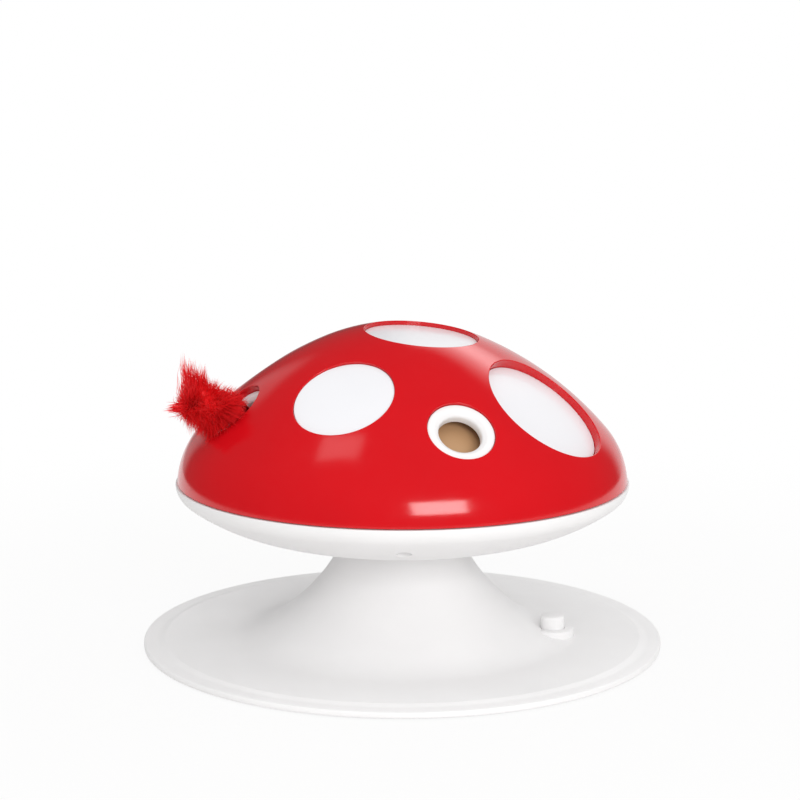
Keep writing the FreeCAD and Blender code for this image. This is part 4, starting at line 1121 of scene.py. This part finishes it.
class TEASER_OT_rings(bpy.types.Operator):
    """Build the white funnel rings of the four ports"""

    bl_idname = "teaser.rings"
    bl_label = "Port rings"

    def execute(self, context):
        rings = Moulding()
        for azimuth, recess in PORTS.values():
            bore = on_cap(azimuth, PORT_POLAR, PORT_POINTS)
            face = -port_face(recess)
            end = face - PORT_LENGTH
            shoulder = face - PORT_FLANGE_THICKNESS
            outline = eased([
                (PORT_BORE + PORT_FUNNEL_WIDTH, face, FUNNEL_EASE),
                (PORT_BORE, face - PORT_FUNNEL_DEPTH, ROUND_EASE), (PORT_BORE, end, EDGE_EASE),
                (PORT_TUBE, end, LIP_EASE), (PORT_TUBE, shoulder), (PORT_FLANGE, shoulder),
                (PORT_FLANGE, face, FACE_EASE)])
            rings.turned(outline, BUSH_POINTS, bore.place, bore.turn)
        place_piece(rings.make("port_rings", finish("white_abs")), "housing", "white_abs", "port_bushes")
        return {"FINISHED"}


class TEASER_OT_button(bpy.types.Operator):
    """Build the power button with its slightly crowned top"""

    bl_idname = "teaser.button"
    bl_label = "Power button"

    def execute(self, context):
        inner = BUTTON_RADIUS - BUTTON_WALL
        outer = BUTTON_RADIUS + BUTTON_FLANGE
        roof = BUTTON_TOP - BUTTON_ROOF
        crown = [(share * BUTTON_RADIUS, BUTTON_TOP - drop) for share, drop in BUTTON_CROWN]
        outline = eased([
            (0.0, BUTTON_TOP), crown[0], crown[1], crown[2] + (ROUND_EASE,),
            (BUTTON_RADIUS, BUTTON_FLANGE_TOP, TOUCH_EASE), (outer, BUTTON_FLANGE_TOP, LIP_EASE),
            (outer, BUTTON_FLANGE_BOTTOM, LIP_EASE), (inner, BUTTON_FLANGE_BOTTOM), (inner, roof),
            (0.0, roof)])
        button = Moulding()
        button.turned(outline, SMALL_POINTS * 2, on_ring(BUTTON_RING, BUTTON_AZIMUTH))
        place_piece(button.make("button", finish("white_abs")), "power_key", "white_abs", "power_button")
        return {"FINISHED"}


def screw_head(moulding, place, turn, radius, height):
    """Pan head with a cross recess, its bearing face at the place."""
    flat_radius = radius * HEAD_FLAT
    arm = radius * CROSS_ARM
    half = radius * CROSS_HALF
    low = height * HEAD_SIDE
    outline = [(radius, 0.0)]
    for step in range(HEAD_STEPS + 1):
        out = heading(math.pi / 2 * step / HEAD_STEPS)
        outline.append((flat_radius + (radius - flat_radius) * out.x, low + (height - low) * out.y))
    rings = moulding.rings(outline, SMALL_POINTS, place, turn)
    moulding.bands(rings)
    moulding.close(rings[0])
    cross = []
    for angle in turns(4):
        out = heading(angle)
        beside = Vector((-out.y, out.x))
        cross += [arm * out - half * beside, arm * out + half * beside, half * out + half * beside]
    edge, foot = [moulding.loop([place + turn @ Vector((p.x * share, p.y * share, level)) for p in cross])
                  for share, level in ((1.0, height), (CROSS_FOOT, low))]
    moulding.band(edge, foot)
    moulding.close(foot)
    numbers = rings[-1] + edge
    flat = [(turn.transposed() @ (moulding.points[number] - place)).xy for number in numbers]
    borders = [list(range(SMALL_POINTS)), list(range(SMALL_POINTS, len(numbers)))]
    moulding.fill(numbers, flat, borders)


class TEASER_OT_screws(bpy.types.Operator):
    """Build the cross-recessed screw heads in the bowl, the bottom cover and the rotor"""

    bl_idname = "teaser.screws"
    bl_label = "Screw heads"

    def execute(self, context):
        down = Matrix.Rotation(math.pi, 3, "X")
        for name, (ring, azimuths), level, height in (
                ("shell", SHELL_SCREWS, SINK_TOP, SHELL_HEAD),
                ("cover", COVER_SCREWS, COVER_SCREW_FLOOR, COVER_HEAD)):
            heads = Moulding()
            for azimuth in azimuths:
                screw_head(heads, on_ring(ring, azimuth, level), down, HEAD_RADIUS, height)
            piece = heads.make(name + "_screw_heads", finish("steel"))
            place_piece(piece, "housing", "steel")
        low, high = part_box("rotor_screw")
        neck = high.z - ROTOR_HEAD
        rotor = Moulding()
        screw_head(rotor, Vector((0.0, 0.0, neck)), Matrix.Identity(3), high.x, ROTOR_HEAD)
        rotor.turned([(0.0, low.z), (ROTOR_SHANK, low.z), (ROTOR_SHANK, neck), (0.0, neck)], SMALL_POINTS)
        piece = rotor.make("rotor_screw_head", finish("steel"))
        place_piece(piece, "tail_rotor", "steel", "rotor_screw")
        return {"FINISHED"}


def tapered(moulding, path, radius):
    """Hair along a path: a thin prism that runs out to a point."""
    rings = []
    for step, here in enumerate(path[:-1]):
        along = (path[step + 1] - here).normalized()
        across = along.orthogonal().normalized()
        beside = along.cross(across)
        width = radius * (1.0 - HAIR_TAPER * step / (len(path) - 1))
        rings.append(moulding.loop([here + width * (math.cos(turn) * across + math.sin(turn) * beside)
                                    for turn in turns(HAIR_SIDES)]))
    moulding.bands(rings)
    moulding.band(rings[-1], moulding.loop([path[-1]]))
    moulding.faces.append(tuple(reversed(rings[0])))


def bent(start, pull, end, steps):
    """Points of a bend from start to end, drawn towards pull."""
    shares = [step / steps for step in range(steps + 1)]
    return [start * (1 - s) ** 2 + pull * 2 * s * (1 - s) + end * s ** 2 for s in shares]


def clear_of_cap(point, gap):
    """The point, lifted off the cap if it would lie in it, except over the tail's port."""
    way, azimuth, above = cap_shell.locate(point)
    if above > gap or TAIL_PORT.covers(point, PORT_ROOM):
        return point
    return point + cap_shell.normal(way, azimuth) * (gap - above)


def by_port(out, turn, rise):
    """Point at a radius, an angle and a height about the axis of the tail's port."""
    return TAIL_PORT.place + TAIL_PORT.turn @ Vector((out * math.cos(turn), out * math.sin(turn), rise))


class Fluff:
    """Outline of the fur and the spine inside it."""

    def __init__(self, width):
        self.width = width
        outline = [Vector((x, z)) * MM - FLUFF_CENTRE.xz for x, z in FLUFF_OUTLINE]
        corners = sorted((math.atan2(p.y, p.x) % (2 * math.pi), p.length) for p in outline)
        corners = [(corners[-1][0] - 2 * math.pi, corners[-1][1])] + corners
        self.corners = corners + [(corners[1][0] + 2 * math.pi, corners[1][1])]
        self.mouth = TAIL_PORT.place
        root = TAIL_PORT.point(0.0, SPINE_ROOT, 0)
        self.spine = bent(root, self.mouth + SPINE_PULL, SPINE_END, SPINE_STEPS)

    def reach(self, angle):
        """Distance from the fluff's middle to its outline at an angle in side view."""
        angle %= 2 * math.pi
        for (low, near), (high, far) in zip(self.corners, self.corners[1:]):
            if low <= angle <= high:
                return near + (far - near) * (angle - low) / max(high - low, TINY)
        return self.corners[0][1]

    def outward(self, aside, turn):
        """From the middle to the surface, aside by a share of the unit sphere and at a turn."""
        level = math.sqrt(1.0 - aside * aside)
        way = Vector((level * math.cos(turn), aside, level * math.sin(turn)))
        flat = math.hypot(way.x, way.z)
        return way * (1.0 / math.sqrt((flat / self.reach(turn)) ** 2 + (way.y / self.width) ** 2))

    def on_spine(self, share):
        """Point of the spine at a share of its length."""
        step = min(share, SPINE_LAST) * (len(self.spine) - 1)
        low = int(step)
        return self.spine[low].lerp(self.spine[low + 1], step - low)


class TEASER_OT_tail(bpy.types.Operator):
    """Build the fur of the tail, hair by hair, round its bent core"""

    bl_idname = "teaser.tail"
    bl_label = "Fur tail"

    def execute(self, context):
        sizes = context.scene.teaser_tail
        dice = random.Random(sizes.seed)
        fluff = Fluff(sizes.width)
        fur = Moulding()

        def lock(tip, share, hairs, spread, radius=sizes.hair_radius):
            """Hairs that leave the spine apart and lean together towards a tip."""
            for _ in range(hairs):
                begin = share + dice.gauss(0.0, LOCK_SCATTER)
                begin = fluff.on_spine(min(max(begin, LOCK_STARTS[0]), LOCK_STARTS[1]))
                jitter = Vector([dice.gauss(0.0, 1.0) for _ in range(3)])
                end = begin.lerp(tip + jitter * spread, dice.uniform(*LOCK_LENGTHS))
                ahead = LEAN_WAY * (end - begin).length * LEAN_SHARE
                pull = begin.lerp(end, LEAN_AT) + ahead + jitter * STRAY_MIDDLE
                hair_path = bent(begin + jitter * STRAY_START, pull, end, HAIR_STEPS)
                path = [clear_of_cap(point, HAIR_GAP) for point in hair_path]
                tapered(fur, path, radius * dice.uniform(*HAIR_THICKNESS))

        core = []
        for row in range(1, CORE_ROWS):
            ring = []
            for turn in turns(CORE_POINTS):
                share = CORE_SHARE + CORE_RIPPLE * math.sin(CORE_WAVES[0] * turn + CORE_WAVES[1] * row)
                way = fluff.outward(math.cos(math.pi * row / CORE_ROWS), turn)
                ring.append(clear_of_cap(FLUFF_CENTRE + way * share, CORE_GAP))
            core.append(fur.loop(ring))
        fur.bands(core)
        fur.close(core[0])
        fur.close(core[-1])
        golden = math.pi * (3.0 - math.sqrt(5.0))
        for number in range(sizes.locks):
            way = fluff.outward(1.0 - 2.0 * (number + 0.5) / sizes.locks, number * golden)
            tip = FLUFF_CENTRE + way * dice.uniform(*LOCK_TIPS)
            share = (fluff.mouth.x - tip.x) / (fluff.mouth.x - SPINE_END.x)
            share = LOCK_SHARE[0] + LOCK_SHARE[1] * share
            lock(tip, share, sizes.hairs, LOCK_SPREAD)
        hairs, spread, thicker = CREST_HAIRS
        for number in range(CREST_LOCKS):
            part = number / (CREST_LOCKS - 1)
            x = CREST_START[0] + CREST_RUN[0] * part
            z = CREST_START[1] + CREST_RUN[1] * part + CREST_RAG[number % 2]
            tip = Vector((x, dice.uniform(-CREST_HALF, CREST_HALF), z)) * MM
            share = CREST_SHARE[0] + CREST_SHARE[1] * part
            lock(tip, share, hairs, spread * MM, sizes.hair_radius * thicker)
        hairs, spread = POINT_HAIRS
        first, step, level = POINT_START
        for number in range(POINT_LOCKS):
            aside = dice.uniform(*POINT_ASIDE)
            tip = Vector((first + step * number, aside, level + dice.uniform(*POINT_RAG))) * MM
            lock(tip, POINT_SHARE, hairs, spread * MM)
        for locks, around, outs, rises, shift, share, hairs, spread in COLLAR_FURS:
            for number in range(locks):
                turn = math.radians(dice.uniform(*around))
                out = dice.uniform(*outs) * MM
                tip = by_port(out, turn, dice.uniform(*rises) * MM) + Vector(shift) * MM
                lock(tip, share, hairs, spread * MM)
        for number in range(STRANDS):
            turn = dice.uniform(0.0, 2 * math.pi)
            out = dice.uniform(*STRAND_OUT) * MM
            low = by_port(out * STRAND_SQUEEZE, turn, STRAND_LOW)
            high = by_port(out, turn, dice.uniform(*STRAND_RISE) * MM)
            end = high + Vector((-dice.uniform(*STRAND_AHEAD), dice.gauss(0.0, STRAND_STRAY),
                                 dice.gauss(0.0, STRAND_STRAY))) * MM
            tapered(fur, bent(low, high, end, HAIR_STEPS), sizes.hair_radius * STRAND_THICKNESS)
        place_piece(fur.make("fur", finish("fur")), "tail_rotor", "fur", "tail_fur")
        return {"FINISHED"}


class TEASER_OT_inner(bpy.types.Operator):
    """Give every part that keeps its own shape the finish of its real material"""

    bl_idname = "teaser.inner"
    bl_label = "Inner parts"

    def execute(self, context):
        for part in frame["record"]["subparts"]:
            piece = frame["nodes"][part["node"]]
            for material_slot in piece.material_slots:
                material_slot.material = finish(part["material_slot"])
        return {"FINISHED"}


class TEASER_OT_stage(bpy.types.Operator):
    """Set the floor, the soft light, the white surround and the camera"""

    bl_idname = "teaser.stage"
    bl_label = "Stage"

    def execute(self, context):
        scene = context.scene
        sizes = scene.teaser_stage
        self.floor(sizes)
        self.surround(scene, sizes)
        for name, setting in LAMPS.items():
            self.lamp(name + "_lamp", *setting, getattr(sizes, name + "_power"))
        view = bpy.data.cameras.new("camera")
        view.lens = CAMERA_LENS
        view.sensor_width = CAMERA_SENSOR
        camera = bpy.data.objects.new("camera", view)
        camera.location = CAMERA_PLACE
        camera.rotation_euler = (CAMERA_AIM - camera.location).to_track_quat("-Z", "Y").to_euler()
        scene.collection.objects.link(camera)
        scene.camera = camera
        scene.view_settings.view_transform = "Standard"
        return {"FINISHED"}

    def floor(self, sizes):
        """Round pale floor that fades to white for the eye and keeps a faint shadow."""
        ground = Moulding()
        ground.close(ground.rings([(sizes.floor_radius, 0.0)], RIM_POINTS)[0])
        material = bpy.data.materials.new("pale_floor")
        tree = emptied(material)
        place = add(tree, "TexCoord").outputs["Object"]
        grain = add(tree, "TexNoise", {"Vector": place, "Scale": 1 / FLOOR_GRAIN, "Detail": 2.0})
        dark, pale = [opaque(code) for code in FLOOR_TONES]
        tone = add(tree, "Mix", {"Factor": grain, COLOUR_A: dark, COLOUR_B: pale}, data_type="RGBA")
        matt = add(tree, "BsdfDiffuse", {"Color": tone.outputs[COLOUR_OUT]})
        glow = add(tree, "Emission", {"Color": (1.0, 1.0, 1.0, 1.0), "Strength": 1.0})
        away = add(tree, "VectorMath", {0: place}, operation="LENGTH").outputs["Value"]
        fade = add(tree, "MapRange", {"Value": away, **FLOOR_FADE}, interpolation_type="SMOOTHSTEP")
        path = add(tree, "LightPath").outputs
        mirrored = add(tree, "Math", {0: path["Is Glossy Ray"], 1: FLOOR_MIRROR}, operation="MULTIPLY")
        seen = add(tree, "Math", {0: path["Is Camera Ray"], 1: mirrored}, operation="MAXIMUM")
        share = add(tree, "Math", {0: fade, 1: seen}, operation="MULTIPLY")
        mixed = add(tree, "MixShader", {0: share, 1: matt, 2: glow})
        add(tree, "OutputMaterial", {"Surface": mixed})
        ground.make("floor", material)

    def surround(self, scene, sizes):
        """World that the eye sees white, that mirrors show as a studio, and that lights evenly."""
        scene.world = bpy.data.worlds.new("studio")
        tree = emptied(scene.world)
        way = add(tree, "TexCoord").outputs["Generated"]
        axes = {"up": add(tree, "SeparateXYZ", {"Vector": way}).outputs["Z"]}
        for name, axis in (("side", SIDE_AXIS), ("ahead", AHEAD_AXIS), ("tilt", TILT_AXIS)):
            axes[name] = add(tree, "VectorMath", {0: way, 1: axis}, operation="DOT_PRODUCT").outputs["Value"]
        edge = add(tree, "MapRange", {"Value": axes["side"], **WALL_EDGE})
        axes["above"] = add(tree, "Math", {0: axes["up"], 1: edge}, operation="ADD").outputs[0]
        fields = {}
        for name, (total, fades) in FIELDS.items():
            for axis, dark, bright, kind in fades:
                fade = add(tree, "MapRange", {"Value": axes[axis], "From Min": dark, "From Max": bright},
                           interpolation_type=kind)
                total = add(tree, "Math", {0: fade, 1: total}, operation="MULTIPLY")
            fields[name] = total
        white = add(tree, "Math", {0: fields["wall"], 1: fields["card"]}, operation="MAXIMUM")
        plain = add(tree, "MapRange", {"Value": white, "To Min": MIRROR_LEVELS[0],
                                       "To Max": MIRROR_LEVELS[1]})
        mirror = add(tree, "Math", {0: fields["pane"], 1: plain}, operation="ADD")
        even = add(tree, "MapRange", {"Value": axes["tilt"], "From Min": -1.0,
                                      "To Min": AMBIENT_SHARES[0] * sizes.ambient,
                                      "To Max": AMBIENT_SHARES[1] * sizes.ambient})
        path = add(tree, "LightPath").outputs
        glossy = add(tree, "Mix", {"Factor": path["Is Glossy Ray"], NUMBER_A: even, NUMBER_B: mirror})
        clear = add(tree, "Math", {0: path["Is Camera Ray"], 1: path["Is Transmission Ray"]},
                    operation="MAXIMUM")
        strength = add(tree, "Mix", {"Factor": clear, NUMBER_A: glossy, NUMBER_B: 1.0})
        glow = add(tree, "Background", {"Color": (1.0, 1.0, 1.0, 1.0), "Strength": strength})
        add(tree, "OutputWorld", {"Surface": glow})

    def lamp(self, name, azimuth, elevation, roll, distance, size, power):
        """Soft rectangular lamp aimed at the cap."""
        light = bpy.data.lights.new(name, "AREA")
        light.shape = "RECTANGLE"
        light.size, light.size_y = size
        light.energy = power
        lamp = bpy.data.objects.new(name, light)
        lift = math.radians(elevation)
        lamp.location = LAMP_AIM + on_ring(distance * math.cos(lift), azimuth, distance * math.sin(lift))
        aimed = (LAMP_AIM - lamp.location).to_track_quat("-Z", "Y").to_matrix()
        lamp.rotation_euler = (aimed @ Matrix.Rotation(math.radians(roll), 3, "Z")).to_euler()
        bpy.context.scene.collection.objects.link(lamp)


OPERATORS = [
    TEASER_OT_cap, TEASER_OT_bowl, TEASER_OT_base, TEASER_OT_discs, TEASER_OT_rings, TEASER_OT_button,
    TEASER_OT_screws, TEASER_OT_tail, TEASER_OT_inner, TEASER_OT_stage,
]
GROUPS = {
    "teaser_skin": TeaserSkin, "teaser_finish": TeaserFinish, "teaser_tail": TeaserTail,
    "teaser_stage": TeaserStage,
}


class TEASER_PT_panel(bpy.types.Panel):
    """Sizes, colours and build steps of the cat teaser"""

    bl_label = "Cat Teaser"
    bl_idname = "TEASER_PT_panel"
    bl_space_type = "VIEW_3D"
    bl_region_type = "UI"
    bl_category = "Cat Teaser"

    def draw(self, context):
        layout = self.layout
        for name, group in GROUPS.items():
            box = layout.box()
            for field in group.__annotations__:
                box.prop(getattr(context.scene, name), field)
        for operator in OPERATORS:
            layout.operator(operator.bl_idname)


def register():
    """Adds the classes and hangs the groups of settings on the scene."""
    for group in GROUPS.values():
        bpy.utils.register_class(group)
    for name, group in GROUPS.items():
        setattr(bpy.types.Scene, name, PointerProperty(type=group))
    for operator in OPERATORS:
        bpy.utils.register_class(operator)
    bpy.utils.register_class(TEASER_PT_panel)


def unregister():
    """Takes the settings and the classes away again."""
    bpy.utils.unregister_class(TEASER_PT_panel)
    for operator in reversed(OPERATORS):
        bpy.utils.unregister_class(operator)
    for name in GROUPS:
        delattr(bpy.types.Scene, name)
    for group in reversed(GROUPS.values()):
        bpy.utils.unregister_class(group)


def main():
    """Builds the whole toy."""
    register()
    for operator in OPERATORS:
        getattr(bpy.ops.teaser, operator.bl_idname.split(".")[1])()
    bpy.context.view_layer.update()


if __name__ == "__main__":
    main()
